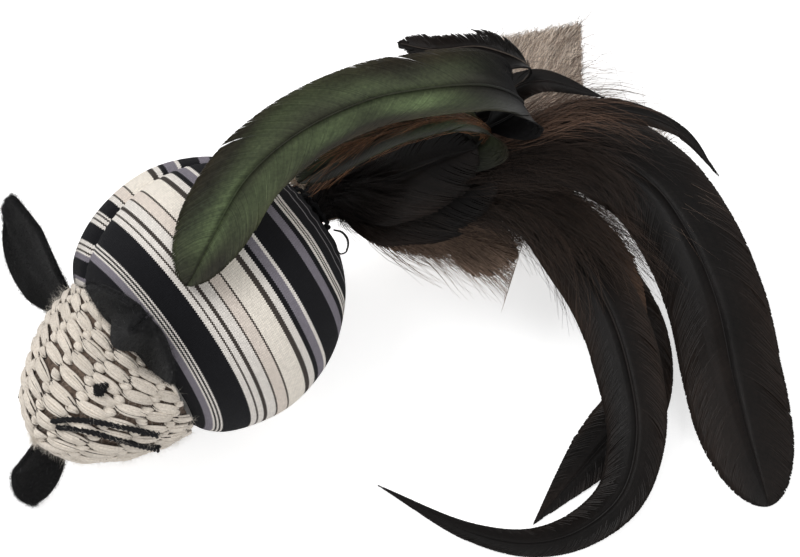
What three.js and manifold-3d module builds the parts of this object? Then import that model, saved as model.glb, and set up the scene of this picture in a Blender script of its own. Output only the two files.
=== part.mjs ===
import * as THREE from "three";
import { mergeVertices } from "three/addons/utils/BufferGeometryUtils.js";
import Module from "manifold-3d";

// A mouse cat toy: a stuffed ball of striped sock knit with a chunky knit snout, felt ears and a felt
// nose flap, and a tail of rooster feathers and a patch of fur that are bound in thread.
// Millimetres, +Z up. The origin is the middle of the small flat that the ball rests on, the nose
// points along -X and the tail along +X.

const wasm = await Module();
wasm.setup();
const V = (x, y, z) => new THREE.Vector3(x, y, z);
const rad = THREE.MathUtils.degToRad;

// Clearance between pieces that touch
const gap = 0.3;

// Body: a ball whose axis runs from nose to tail
const bodyRadius = 41;
const restFlatDepth = 0.5;
const noseDroop = rad(5);
const seamAhead = 30; // from the ball's centre to the seam with the snout
const coverWall = 1.2;
const seamDip = 0.8; // how far the stitching draws the cover in
const seamDipWidth = rad(8);
const spineSeam = rad(50); // angles round the axis run from the top to the far side
const bellySeam = rad(230);

// Snout: a blunt cone of chunky knit
const snoutLength = 37;
const snoutWall = 2.6;
const snoutFullness = 1.5;
const snoutOpeningShare = 0.985;

// The toy lies rolled, so its own top is turned towards the far side
const topRoll = rad(38);

// Eyes: small embroidered dots
const eyeRadius = 2.3;
const eyeHeight = 1.1;
const eyeFromSeam = 16.5;
const eyeTurn = rad(60);

// Ears: felt petals sewn into the snout's seam. Each has its turn from the mouse's own top, the
// angles that it curls forwards through, its lean towards the near side, the twist of its width,
// how far its edges stand forwards, and how far its middle fold does
const feltWall = 2.2;
const earHeight = 35;
const earWidth = 38;
const earBaseWidth = 22;
const earTipPower = 2.2;
const earCups = { near_ear: 3, far_ear: 2 };
const earFolds = { near_ear: 6, far_ear: 0.5 };
const earFoldWidthShare = 0.13;
const earFoldRiseShare = 0.33;
const ears = {
  near_ear: { turn: rad(-48.5), curlFrom: rad(1), curlTo: rad(-10), lean: rad(13), twist: 0 },
  far_ear: { turn: rad(55), curlFrom: rad(3), curlTo: rad(-11), lean: rad(64), twist: rad(-17.5) },
};

// Nose flap: a felt petal stitched under the tip of the snout. It hangs down and forwards with a
// turn to the near side, and its neck twists to lie along the knit
const noseFlapLength = 25;
const noseFlapWidth = 19.5;
const noseFlapBase = 6.5;
const noseFlapFromSeam = 33.7;
const noseFlapLift = 1.8; // of its neck from the knit
const noseFlapTurn = rad(163);
const noseFlapDip = rad(57.6); // below level
const noseFlapHeading = rad(32.7); // from straight ahead to the near side
const noseFlapFacing = rad(-46.4); // of its width from level
const noseFlapNeckTwist = rad(-30);
const noseFlapNeckShare = 0.45;
const noseFlapOpenShare = 0.55;
const noseFlapTipPower = 3;

// Whiskers: thick yarn laid along each cheek
const whiskerRadius = 0.9;
const whiskerFromSeam = 32.5;
const whiskers = [
  { name: "upper", endFromSeam: 11, startTurn: rad(54), turn: rad(115) },
  { name: "lower", endFromSeam: 12.2, startTurn: rad(64), turn: rad(136) },
];

// Tail root: quills bound in thread, held in the gathered end of the cover
const quillRadius = 0.8;
const innerRingRadius = 1.55;
const outerRingRadius = 3.65;
const bindingWall = 0.9;
const bindingGroove = 0.3; // between the turns of its thread
const grooveStartShare = 0.35;
const grooveEndShare = 0.85;
const quillSeatShare = 0.6; // of the binding along which a quill runs straight
const bindingLength = 10;
const bindingDepth = 4.2; // how far the binding's pivot lies inside the ball
const tailSwing = rad(12);
const gatherThreadRadius = 0.8;
const quillStart = 1.5; // from the pivot to the ends of the quills

// Loose thread end under the tail
const looseThreadRadius = 0.45;
const looseThreadReach = 12;
const looseThreadShares = [
  [-0.04, -0.8, -0.12],
  [0.12, -0.9, -0.4],
  [0.16, -1.02, -0.85],
  [0.02, -1.06, -1.25],
  [-0.1, -0.98, -1.3],
  [-0.12, -0.88, -1.1],
];

// Feathers: the length of each along its shaft, and its width
const featherSizes = {
  black_feather_upper: { length: 67, width: 30 },
  green_feather_long: { length: 210, width: 27 },
  green_feather_short: { length: 140, width: 20 },
  curled_black_feather: { length: 125, width: 24 },
  small_pointed_feather: { length: 108, width: 10 },
  thin_feather: { length: 141, width: 8 },
  black_feather_lower: { length: 62, width: 30 },
  wide_feather: { length: 221, width: 31 },
  sickle_feather: { length: 249, width: 21 },
  middle_feather: { length: 131, width: 13 },
  under_feather: { length: 195, width: 20 },
  brown_fringe_feather: { length: 69, width: 26 },
};
const rachisThick = 1.5;
const rachisTaperShare = 0.55; // of its thickness that a feather loses by its tip
const vaneEdgeThick = 0.6;
const vaneCamberShare = 0.07;
const vaneTipWidth = 1.2;
const pointedTipPower = 1.2;
const flatTipShare = 0.25; // of its length over which a feather that lies down flattens
const tipClearance = 0.1; // between a tip that lies down and the floor

// Patch of fur: its far and near cut edges, in shares of its length from the tail's pivot
const furThick = 6;
const skinThick = 1.6;
const furLength = 113;
const furDrop = 17;
const furFallShare = 0.28;
const furStart = 7.6;
const furNeck = 8;
const furEdgeShares = [
  { at: 0.2, far: [0.24, 0.06], near: [0.24, -0.12] },
  { at: 0.62, far: [0.695, 0.162], near: [0.56, -0.35] },
  { at: 1, far: [1, -0.012], near: [0.914, -0.44] },
];

const black = 0x100f0f;
const knitDark = 0x1d1c22;
const knitCream = 0xd8cfc2;
const felt = 0x161617;
const green = 0x27331c;
const brown = 0x3a2a20;
const taupe = 0x8f8177;
const fibreWhite = 0xe8e6e2;

const seamRadius = Math.sqrt(bodyRadius ** 2 - seamAhead ** 2);
const bodyCentreHeight = bodyRadius - restFlatDepth;
const bindingBore = outerRingRadius + quillRadius + gap;
const bindingRadius = bindingBore + bindingWall;
const bindingPivot = bodyRadius - bindingDepth;
const tailHole =
  bindingRadius + bindingDepth * Math.tan(tailSwing) + 2 * gap;

const toy = new THREE.Group();

// The mouse's own frame: +Y along its axis to the tail, +Z up, -X to the far side
const mouse = new THREE.Group();
mouse.matrix.makeBasis(
  V(0, -1, 0),
  V(Math.cos(noseDroop), 0, Math.sin(noseDroop)),
  V(-Math.sin(noseDroop), 0, Math.cos(noseDroop)),
);
mouse.matrix.setPosition(0, 0, bodyCentreHeight);
mouse.matrixAutoUpdate = false;
toy.add(mouse);

// A point at a place along the mouse's axis, a distance from it and a turn round it
function round(along, radius, turn) {
  return V(-radius * Math.sin(turn), along, radius * Math.cos(turn));
}

function add(group, name, geometry, color, roughness = 0.9) {
  const material = new THREE.MeshStandardMaterial({ color, roughness });
  const mesh = new THREE.Mesh(geometry, material);
  mesh.name = name;
  group.add(mesh);
}

function signedVolume(geometry) {
  const at = geometry.attributes.position;
  const corner = (i) => V(0, 0, 0).fromBufferAttribute(at, geometry.index.getX(i));
  let sum = 0;
  for (let i = 0; i < geometry.index.count; i += 3) {
    sum += corner(i).dot(corner(i + 1).cross(corner(i + 2)));
  }
  return sum;
}

function geometryOf(points, triangles) {
  const geometry = new THREE.BufferGeometry();
  geometry.setAttribute(
    "position",
    new THREE.Float32BufferAttribute(points.flatMap((p) => p.toArray()), 3),
  );
  geometry.setIndex(triangles);
  if (signedVolume(geometry) < 0) {
    geometry.setIndex(triangles.reverse());
  }
  return geometry;
}

// A closed slab between two faces: point(u, v, side) gives the face on side 1 and on side -1
function slab(columns, rows, point) {
  const points = [];
  for (const side of [1, -1]) {
    for (let i = 0; i <= columns; i++) {
      for (let j = 0; j <= rows; j++) {
        points.push(point(i / columns, j / rows, side));
      }
    }
  }
  const half = points.length / 2;
  const id = (i, j, side) => (side > 0 ? 0 : half) + i * (rows + 1) + j;
  const triangles = [];
  const quad = (a, b, c, d) => triangles.push(a, b, c, a, c, d);
  for (let i = 0; i < columns; i++) {
    for (let j = 0; j < rows; j++) {
      quad(id(i, j, 1), id(i + 1, j, 1), id(i + 1, j + 1, 1), id(i, j + 1, 1));
      quad(id(i, j, -1), id(i, j + 1, -1), id(i + 1, j + 1, -1), id(i + 1, j, -1));
    }
    quad(id(i, 0, -1), id(i + 1, 0, -1), id(i + 1, 0, 1), id(i, 0, 1));
    quad(id(i, rows, 1), id(i + 1, rows, 1), id(i + 1, rows, -1), id(i, rows, -1));
  }
  for (let j = 0; j < rows; j++) {
    quad(id(0, j, 1), id(0, j + 1, 1), id(0, j + 1, -1), id(0, j, -1));
    quad(id(columns, j, -1), id(columns, j + 1, -1), id(columns, j + 1, 1), id(columns, j, 1));
  }
  return geometryOf(points, triangles);
}

// A closed turned solid about the mouse's axis; the profile holds [radius, along]
function turned(profile, segments) {
  const lathe = new THREE.LatheGeometry(
    profile.map(([radius, along]) => new THREE.Vector2(radius, along)),
    segments,
  );
  lathe.deleteAttribute("normal");
  lathe.deleteAttribute("uv");
  const merged = mergeVertices(lathe, gap / 1000);
  if (signedVolume(merged) < 0) {
    merged.setIndex([...merged.index.array].reverse());
  }
  return merged;
}

// A round cord along a curve
function cord(curve, radius, steps, sides) {
  const section = new THREE.Shape();
  for (let i = 0; i < sides; i++) {
    const turn = (2 * Math.PI * i) / sides;
    const [x, y] = [radius * Math.cos(turn), radius * Math.sin(turn)];
    if (i) section.lineTo(x, y);
    else section.moveTo(x, y);
  }
  return new THREE.ExtrudeGeometry(section, {
    steps,
    extrudePath: curve,
    curveSegments: sides,
    bevelEnabled: false,
  });
}

function solidOf(geometry) {
  return new wasm.Manifold(
    new wasm.Mesh({
      numProp: 3,
      vertProperties: geometry.attributes.position.array,
      triVerts: new Uint32Array(geometry.index.array),
    }),
  );
}

function meshOf(solid) {
  const mesh = solid.getMesh();
  const geometry = new THREE.BufferGeometry();
  geometry.setAttribute(
    "position",
    new THREE.Float32BufferAttribute(mesh.vertProperties, 3),
  );
  geometry.setIndex([...mesh.triVerts]);
  return geometry;
}

// The room below the floor, in the mouse's frame
function belowFloor() {
  const size = 4 * bodyRadius;
  const box = new THREE.BoxGeometry(size, size, size);
  box.deleteAttribute("normal");
  box.deleteAttribute("uv");
  const merged = mergeVertices(box, gap / 1000);
  merged.translate(0, 0, -size / 2);
  return merged.applyMatrix4(mouse.matrix.clone().invert());
}

// Body cover: two panels of striped knit, sewn together along the spine and the belly
function bodyPanel(name, firstSeam, lastSeam) {
  const seamGap = gap / 2;
  const frontAngle = Math.acos(-seamAhead / bodyRadius) - seamGap / bodyRadius;
  const tailAngle = Math.asin(tailHole / bodyRadius);
  const point = (u, v, side) => {
    const polar = THREE.MathUtils.lerp(frontAngle, tailAngle, u);
    const full = bodyRadius * Math.sin(polar);
    const inset = seamGap / full;
    const turn = THREE.MathUtils.lerp(firstSeam + inset, lastSeam - inset, v);
    const away = Math.min(turn - firstSeam, lastSeam - turn) / seamDipWidth;
    const dip = (seamDip * Math.exp(-away * away) * full) / bodyRadius;
    const radius = bodyRadius - dip - (side > 0 ? 0 : coverWall);
    return round(radius * Math.cos(polar), radius * Math.sin(polar), turn);
  };
  const panel = solidOf(slab(20, 20, point)).subtract(solidOf(belowFloor()));
  add(mouse, name, meshOf(panel), knitDark);
}
bodyPanel("body_panel_far", spineSeam, bellySeam);
bodyPanel("body_panel_near", bellySeam - 2 * Math.PI, spineSeam);

// Snout cover: a turned cup of chunky knit whose mouth meets the body's seam
function snoutRadius(fromSeam) {
  const share = Math.min(fromSeam / snoutLength, 1);
  return seamRadius * snoutOpeningShare * Math.sqrt(1 - share ** snoutFullness);
}

// Places along the snout are closest at its blunt end, where the outline turns fastest
function snoutOutline(wall, steps) {
  const places = [];
  for (let i = 0; i <= steps; i++) {
    const along = snoutLength * Math.sin((Math.PI / 2) * (i / steps));
    const next = Math.max(snoutRadius(along) - wall, 0);
    const inner = Math.min(along, snoutLength - wall);
    places.push([wall ? Math.min(next, snoutRadius(inner)) : next, -seamAhead - inner]);
  }
  places[steps][0] = 0;
  return places;
}

function snoutCover() {
  const outer = snoutOutline(0, 10);
  const inner = snoutOutline(snoutWall, 8).reverse();
  const mouth = -seamAhead - gap / 2;
  outer[0][1] = mouth;
  inner[inner.length - 1][1] = mouth;
  add(mouse, "snout_cover", turned([...outer, ...inner, outer[0]], 32), knitCream);
}
snoutCover();

// Filling: one loose mass of polyester inside the cover and the snout, hollowed where the tail seats
function stuffing() {
  const radius = bodyRadius - coverWall - seamDip - gap;
  const seat = bindingRadius + gap;
  const profile = [];
  for (const [r, along] of snoutOutline(snoutWall + gap, 8).reverse()) {
    profile.push([r, along]);
  }
  const front = Math.acos(-seamAhead / radius);
  const back = Math.asin(tailHole / radius);
  const steps = 11;
  for (let i = 1; i <= steps; i++) {
    const polar = THREE.MathUtils.lerp(front, back, i / steps);
    profile.push([radius * Math.sin(polar), radius * Math.cos(polar)]);
  }
  for (let i = 0; i <= 5; i++) {
    const polar = (Math.PI / 2) * (i / 5);
    const along = bindingPivot - seat * Math.sin(polar);
    profile.push([seat * Math.cos(polar), along]);
  }
  profile[profile.length - 1][0] = 0;
  add(mouse, "stuffing", turned(profile, 24), fibreWhite);
}
stuffing();

// Eyes: a dot of black embroidery on each cheek
function eye(name, turn) {
  const slope = (snoutRadius(eyeFromSeam) - snoutRadius(eyeFromSeam + eyeRadius)) / eyeRadius;
  const dome = [];
  for (let i = 0; i <= 4; i++) {
    const polar = (Math.PI / 2) * (i / 4);
    dome.push([eyeRadius * Math.cos(polar), eyeHeight * Math.sin(polar)]);
  }
  dome[4][0] = 0;
  const holder = new THREE.Group();
  const lift = gap + (eyeRadius ** 2) / (2 * snoutRadius(eyeFromSeam));
  holder.position.copy(round(-seamAhead - eyeFromSeam, snoutRadius(eyeFromSeam) + lift, turn));
  const out = round(-Math.sin(Math.atan(slope)), Math.cos(Math.atan(slope)), turn);
  holder.quaternion.setFromUnitVectors(V(0, 1, 0), out.normalize());
  mouse.add(holder);
  add(holder, name, turned([[0, 0], ...dome], 12), felt);
}
eye("near_eye", topRoll - eyeTurn);
eye("far_eye", topRoll + eyeTurn);

// Ears: a petal that leaves the seam square to the snout, curls forwards and leans to the near side,
// with its edges and its middle fold standing forwards round two hollows
function ear(name, shape) {
  const foot = seamRadius + gap;
  const width = (u) => {
    const open = Math.sin((Math.PI / 2) * Math.min(u * 2, 1));
    const tip = Math.sqrt(Math.max(1 - Math.max(2 * u - 1, 0) ** earTipPower, 0));
    return Math.max(THREE.MathUtils.lerp(earBaseWidth, earWidth, open) * tip, feltWall);
  };
  const middle = (u, v) => {
    const across = (v - 0.5) * width(u);
    const steps = 12;
    let [out, ahead, aside] = [0, 0, 0];
    for (let i = 0; i < steps; i++) {
      const share = (u * (i + 0.5)) / steps;
      const pitch = THREE.MathUtils.lerp(shape.curlFrom, shape.curlTo, share);
      const tilt = shape.lean * share;
      const step = (u * earHeight) / steps;
      ahead += step * Math.sin(pitch);
      out += step * Math.cos(pitch) * Math.cos(tilt);
      aside += step * Math.cos(pitch) * Math.sin(tilt);
    }
    const wrap = foot * (1 - Math.cos(across / foot)) * (1 - u);
    const cup = earCups[name] * (across / (earWidth / 2)) ** 2 * u;
    const bell = Math.exp(-(((v - 0.5) / earFoldWidthShare) ** 2));
    const fold = earFolds[name] * bell * Math.min(u / earFoldRiseShare, 1);
    const twist = shape.twist * Math.min(2 * u, 1);
    const front = ahead + cup + fold + across * Math.sin(twist);
    const along = -seamAhead - gap - feltWall / 2 - front;
    return V(across * Math.cos(twist) + aside, along, foot + out - wrap);
  };
  const point = (u, v, side) => {
    const small = 0.01;
    const [u0, v0] = [Math.min(u, 1 - small), Math.min(v, 1 - small)];
    const alongU = middle(u0 + small, v).sub(middle(u0, v));
    const alongV = middle(u, v0 + small).sub(middle(u, v0));
    const normal = alongU.cross(alongV).normalize();
    return middle(u, v).addScaledVector(normal, (side * feltWall) / 2);
  };
  const petal = slab(12, 16, point);
  petal.rotateY(-topRoll - shape.turn);
  add(mouse, name, petal, felt);
}
for (const [name, shape] of Object.entries(ears)) {
  ear(name, shape);
}

// Nose flap: a petal on u from its neck to its tip, in the world's directions
function noseFlap() {
  const level = Math.cos(noseFlapDip);
  const ahead = V(
    -level * Math.cos(noseFlapHeading),
    -level * Math.sin(noseFlapHeading),
    -Math.sin(noseFlapDip),
  );
  const sideways = V(0, 0, 1).cross(ahead).normalize();
  const reach = snoutRadius(noseFlapFromSeam) + noseFlapLift;
  const root = round(-seamAhead - noseFlapFromSeam, reach, noseFlapTurn).applyMatrix4(mouse.matrix);
  const width = (u) => {
    const open = Math.sin((Math.PI / 2) * Math.min(u / noseFlapOpenShare, 1));
    const tip = Math.sqrt(Math.max(1 - u ** noseFlapTipPower, 0));
    return Math.max(THREE.MathUtils.lerp(noseFlapBase, noseFlapWidth, open) * tip, feltWall);
  };
  const point = (u, v, side) => {
    const neck = Math.max(1 - u / noseFlapNeckShare, 0);
    const facing = noseFlapFacing + noseFlapNeckTwist * neck;
    const aside = sideways.clone().applyAxisAngle(ahead, facing);
    const normal = ahead.clone().cross(aside);
    return root
      .clone()
      .addScaledVector(ahead, u * noseFlapLength)
      .addScaledVector(aside, (v - 0.5) * width(u))
      .addScaledVector(normal, (side * feltWall) / 2);
  };
  add(toy, "nose_flap", slab(12, 6, point), felt);
}
noseFlap();

// Whiskers: each strand starts beside the nose and lies back along the cheek
function whisker(name, side, strand) {
  const lift = whiskerRadius + 2 * gap;
  const points = [];
  const steps = 6;
  for (let i = 0; i <= steps; i++) {
    const fromSeam = THREE.MathUtils.lerp(whiskerFromSeam, strand.endFromSeam, i / steps);
    const turn = THREE.MathUtils.lerp(strand.startTurn, strand.turn, i / steps);
    const place = topRoll + side * turn;
    points.push(round(-seamAhead - fromSeam, snoutRadius(fromSeam) + lift, place));
  }
  add(mouse, name, cord(new THREE.CatmullRomCurve3(points), whiskerRadius, 16, 6), felt);
}
for (const strand of whiskers) {
  whisker("near_whisker_" + strand.name, -1, strand);
  whisker("far_whisker_" + strand.name, 1, strand);
}

// Gather stitch: a ring of thread that draws the cover in round the tail
function gatherStitch() {
  const ring = tailHole + gatherThreadRadius;
  const along = Math.sqrt(bodyRadius ** 2 - tailHole ** 2) + gatherThreadRadius + gap / 2;
  const section = [];
  for (let i = 0; i <= 8; i++) {
    const turn = (2 * Math.PI * i) / 8;
    section.push([
      ring + gatherThreadRadius * Math.cos(turn),
      along + gatherThreadRadius * Math.sin(turn),
    ]);
  }
  add(mouse, "gather_stitch", turned(section, 24), felt);
}
gatherStitch();

// Loose thread: the end of the gather stitch, which hangs out in a small loop
function looseThread() {
  const from = V(0, Math.sqrt(bodyRadius ** 2 - tailHole ** 2) + 2 * gatherThreadRadius + 2 * gap, 0);
  const points = looseThreadShares.map(([along, near, up]) =>
    V(-near * looseThreadReach, along * looseThreadReach, up * looseThreadReach).add(from),
  );
  const curve = new THREE.CatmullRomCurve3(points);
  add(mouse, "loose_thread", cord(curve, looseThreadRadius, 24, 6), felt);
}
looseThread();

// Tail: everything that the binding holds, in a frame at its pivot with the world's directions
const tail = new THREE.Group();
tail.position.copy(V(0, bindingPivot, 0).applyMatrix4(mouse.matrix));
toy.add(tail);
const tailAxis = V(Math.cos(noseDroop), 0, Math.sin(noseDroop));
const tailUp = V(-Math.sin(noseDroop), 0, Math.cos(noseDroop));
const floorBelowTail = -tail.position.z;

// Binding: a sleeve of wound thread, round at the end that seats in the filling
function binding() {
  const outer = [];
  for (let i = 0; i <= 5; i++) {
    const polar = (Math.PI / 2) * (i / 5);
    outer.push([bindingRadius * Math.sin(polar), -bindingRadius * Math.cos(polar)]);
  }
  const turns = 5;
  const pitch = bindingLength / turns;
  for (let i = 0; i < turns; i++) {
    outer.push([bindingRadius, (i + grooveStartShare) * pitch]);
    outer.push([bindingRadius - bindingGroove, (i + (grooveStartShare + grooveEndShare) / 2) * pitch]);
    outer.push([bindingRadius, (i + grooveEndShare) * pitch]);
  }
  const bore = [
    [bindingBore, bindingLength],
    [bindingBore, quillStart - gap],
    [0, quillStart - gap],
  ];
  outer[0][0] = 0;
  outer.push([bindingRadius, bindingLength]);
  const sleeve = turned([...outer, ...bore], 24);
  sleeve.applyMatrix4(new THREE.Matrix4().makeBasis(V(0, -1, 0), tailAxis, tailUp));
  add(tail, "quill_binding", sleeve, felt);
}
binding();

// A quill's place in the bore: the ring it lies in and its turn from the top to the far side
function quillPlace(ring, turn, along) {
  const place = tailAxis.clone().multiplyScalar(along);
  place.addScaledVector(tailUp, ring * Math.cos(turn));
  return place.add(V(0, ring * Math.sin(turn), 0));
}

// A feather: a blade whose shaft leaves its place in the bore and follows a route. The route's points
// are shares of the feather's length from the pivot; vane shares say where the vane starts, is full
// and begins to close; a feather that lies down at its tip is kept just clear of the floor.
function feather(shape) {
  const { length, width } = featherSizes[shape.name];
  const points = [
    quillPlace(shape.ring, shape.turn, quillStart),
    quillPlace(shape.ring, shape.turn, bindingLength * quillSeatShare),
    quillPlace(shape.ring, shape.turn, bindingLength + 4 * gap),
  ];
  for (const [x, y, z] of shape.routeShares) {
    points.push(V(x, y, z).multiplyScalar(length));
  }
  if (shape.liesDown) {
    for (const point of points) {
      point.z = Math.max(point.z, floorBelowTail + rachisThick / 2 + tipClearance);
    }
  }
  const curve = new THREE.CatmullRomCurve3(points, false, "centripetal");
  const columns = shape.columns ?? 30;
  const tangents = [];
  const sides = [];
  for (let i = 0; i <= columns; i++) {
    tangents.push(curve.getTangentAt(i / columns));
    if (!shape.curls) {
      sides.push(V(0, 0, 1).cross(tangents[i]).normalize());
      continue;
    }
    const last = i ? sides[i - 1].clone() : V(0, 0, 1).cross(tangents[0]);
    sides.push(last.addScaledVector(tangents[i], -last.dot(tangents[i])).normalize());
  }
  const [start, full, close] = shape.vaneShares;
  const halfWidth = (u) => {
    const open = THREE.MathUtils.smoothstep(u, start, full);
    const shut = THREE.MathUtils.clamp((u - close) / (1 - close), 0, 1);
    const blunt = (1 - shut ** shape.tipPower) ** (1 / shape.tipPower);
    const vane = (width / 2) * open * (shape.pointed ? 1 - shut ** pointedTipPower : blunt);
    return Math.max(vane, u < close ? quillRadius : vaneTipWidth / 2);
  };
  const point = (u, v, side) => {
    const i = Math.round(u * columns);
    const across = 2 * v - 1;
    const half = halfWidth(u);
    const edge = Math.min(Math.abs(across), 1);
    const taper = 1 - rachisTaperShare * u;
    const thick = THREE.MathUtils.lerp(rachisThick * taper, vaneEdgeThick * taper, edge);
    const camber = half > quillRadius ? vaneCamberShare * 2 * half * edge * edge : 0;
    const normal = tangents[i].clone().cross(sides[i]);
    const fade = shape.liesDown ? 1 - THREE.MathUtils.smoothstep(u, close - flatTipShare, close) : 1;
    return curve
      .getPointAt(u)
      .addScaledVector(sides[i], across * half)
      .addScaledVector(normal, (side * thick) / 2 - camber * fade);
  };
  add(tail, shape.name, slab(columns, 4, point), shape.color, 0.45);
}

const feathers = [
  {
    name: "black_feather_upper", ring: outerRingRadius, turn: rad(-45),
    vaneShares: [0.3, 0.52, 0.65], tipPower: 2.2, columns: 14, color: black,
    routeShares: [[0.389, -0.243, 0.295], [0.59, -0.32, 0.31], [0.73, -0.38, 0.305]],
  },
  {
    name: "green_feather_long", ring: outerRingRadius, turn: 0,
    vaneShares: [0.27, 0.4, 0.88], tipPower: 2, curls: true, color: green,
    routeShares: [
      [0.138, -0.05, 0.063], [0.245, -0.086, 0.064], [0.32, -0.12, 0.118],
      [0.282, -0.088, 0.182], [0.178, -0.027, 0.209], [0.121, -0.003, 0.216],
      [0.023, 0.019, 0.218], [-0.08, 0.015, 0.216], [-0.176, -0.019, 0.204],
      [-0.245, -0.047, 0.19],
    ],
  },
  {
    name: "green_feather_short", ring: innerRingRadius, turn: rad(45),
    vaneShares: [0.3, 0.5, 0.85], tipPower: 2, curls: true, columns: 24, color: green,
    routeShares: [
      [0.2, -0.096, 0.091], [0.31, -0.15, 0.096], [0.39, -0.168, 0.15],
      [0.345, -0.125, 0.215], [0.226, -0.072, 0.249], [0.106, -0.045, 0.263],
      [-0.035, -0.044, 0.284],
    ],
  },
  {
    name: "curled_black_feather", ring: outerRingRadius, turn: rad(45),
    vaneShares: [0.6, 0.8, 0.9], tipPower: 2, curls: true, columns: 24, color: black,
    routeShares: [
      [0.245, -0.06, 0.105], [0.475, -0.1, 0.105], [0.633, -0.124, 0.144],
      [0.576, -0.022, 0.19], [0.468, 0.048, 0.214], [0.414, 0.113, 0.224],
    ],
  },
  {
    name: "small_pointed_feather", ring: outerRingRadius, turn: rad(90),
    vaneShares: [0.45, 0.68, 0.75], tipPower: 2, pointed: true, columns: 20, color: black,
    routeShares: [
      [0.289, -0.097, 0.091], [0.529, -0.118, 0.095], [0.634, -0.125, 0.109],
      [0.733, -0.18, 0.156], [0.835, -0.339, 0.156],
    ],
  },
  {
    name: "thin_feather", ring: innerRingRadius, turn: rad(-45),
    vaneShares: [0.42, 0.6, 0.7], tipPower: 2, pointed: true, columns: 22, color: black,
    routeShares: [
      [0.249, -0.107, 0.075], [0.467, -0.182, 0.073], [0.623, -0.262, 0.091],
      [0.726, -0.403, 0.062], [0.733, -0.524, 0.02],
    ],
  },
  {
    name: "black_feather_lower", ring: outerRingRadius, turn: rad(-90),
    vaneShares: [0.22, 0.48, 0.62], tipPower: 2.2, columns: 14, color: black,
    routeShares: [[0.388, -0.3, 0.134], [0.602, -0.423, 0.142], [0.826, -0.534, 0.142]],
  },
  {
    name: "wide_feather", ring: innerRingRadius, turn: rad(135),
    vaneShares: [0.26, 0.55, 0.84], tipPower: 2, liesDown: true, color: black,
    routeShares: [
      [0.154, -0.073, 0.026], [0.283, -0.132, 0.029], [0.371, -0.197, 0.008],
      [0.408, -0.268, -0.033], [0.411, -0.337, -0.078], [0.386, -0.427, -0.123],
      [0.334, -0.521, -0.155], [0.295, -0.596, -0.176], [0.255, -0.683, -0.2],
    ],
  },
  {
    name: "sickle_feather", ring: innerRingRadius, turn: rad(-135),
    vaneShares: [0.16, 0.38, 0.5], tipPower: 2, pointed: true, liesDown: true, columns: 40,
    color: black,
    routeShares: [
      [0.103, -0.067, 0.011], [0.17, -0.119, 0.011], [0.213, -0.18, -0.005],
      [0.226, -0.247, -0.029], [0.219, -0.319, -0.061], [0.19, -0.392, -0.101],
      [0.153, -0.445, -0.133], [0.096, -0.48, -0.158], [0.032, -0.477, -0.175],
      [-0.024, -0.45, -0.175], [-0.069, -0.391, -0.175], [-0.112, -0.272, -0.175],
    ],
  },
  {
    name: "middle_feather", ring: outerRingRadius, turn: rad(-135),
    vaneShares: [0.35, 0.6, 0.75], tipPower: 2, pointed: true, columns: 22, color: brown,
    routeShares: [
      [0.198, -0.125, -0.002], [0.334, -0.214, -0.005], [0.434, -0.343, -0.032],
      [0.473, -0.507, -0.093], [0.434, -0.742, -0.192],
    ],
  },
  {
    name: "under_feather", ring: outerRingRadius, turn: rad(135),
    vaneShares: [0.3, 0.55, 0.8], tipPower: 2, pointed: true, liesDown: true, columns: 28,
    color: black,
    routeShares: [
      [0.13, -0.072, -0.016], [0.232, -0.159, -0.027], [0.305, -0.261, -0.057],
      [0.322, -0.384, -0.126], [0.292, -0.47, -0.175], [0.235, -0.517, -0.205],
      [0.153, -0.528, -0.23], [-0.006, -0.555, -0.23],
    ],
  },
  {
    name: "brown_fringe_feather", ring: outerRingRadius, turn: rad(180),
    vaneShares: [0.15, 0.5, 0.7], tipPower: 2, columns: 14, color: brown,
    routeShares: [[0.346, -0.273, -0.097], [0.512, -0.479, -0.133], [0.658, -0.708, -0.177]],
  },
];
for (const shape of feathers) {
  feather(shape);
}

// Patch of fur: a piece of skin with straight cut edges and its pile, which drops away below the
// feathers from a narrow neck that is stitched under the binding
function furPatch() {
  const edges = [
    { at: 0, far: V(furStart, furNeck / 2, 0), near: V(furStart, -furNeck / 2, 0) },
    ...furEdgeShares.map(({ at, far, near }) => ({
      at,
      far: V(...far, 0).multiplyScalar(furLength),
      near: V(...near, 0).multiplyScalar(furLength),
    })),
  ];
  const top = furStart * Math.sin(noseDroop) - bindingRadius / Math.cos(noseDroop) - gap;
  const point = (u, v, side) => {
    const last = edges.findIndex((edge) => edge.at >= u && edge.at > 0);
    const share = (u - edges[last - 1].at) / (edges[last].at - edges[last - 1].at);
    const far = edges[last - 1].far.clone().lerp(edges[last].far, share);
    const near = edges[last - 1].near.clone().lerp(edges[last].near, share);
    const place = near.lerp(far, v);
    const fall = THREE.MathUtils.smoothstep(u, 0, furFallShare);
    const thick = THREE.MathUtils.lerp(skinThick, furThick, fall);
    const high = THREE.MathUtils.lerp(top, furThick / 2 - furDrop, fall);
    return place.setZ(side > 0 ? high : high - thick);
  };
  add(tail, "fur_patch", slab(20, 6, point), taupe);
}
furPatch();

export default toy;
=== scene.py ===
import math

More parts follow.
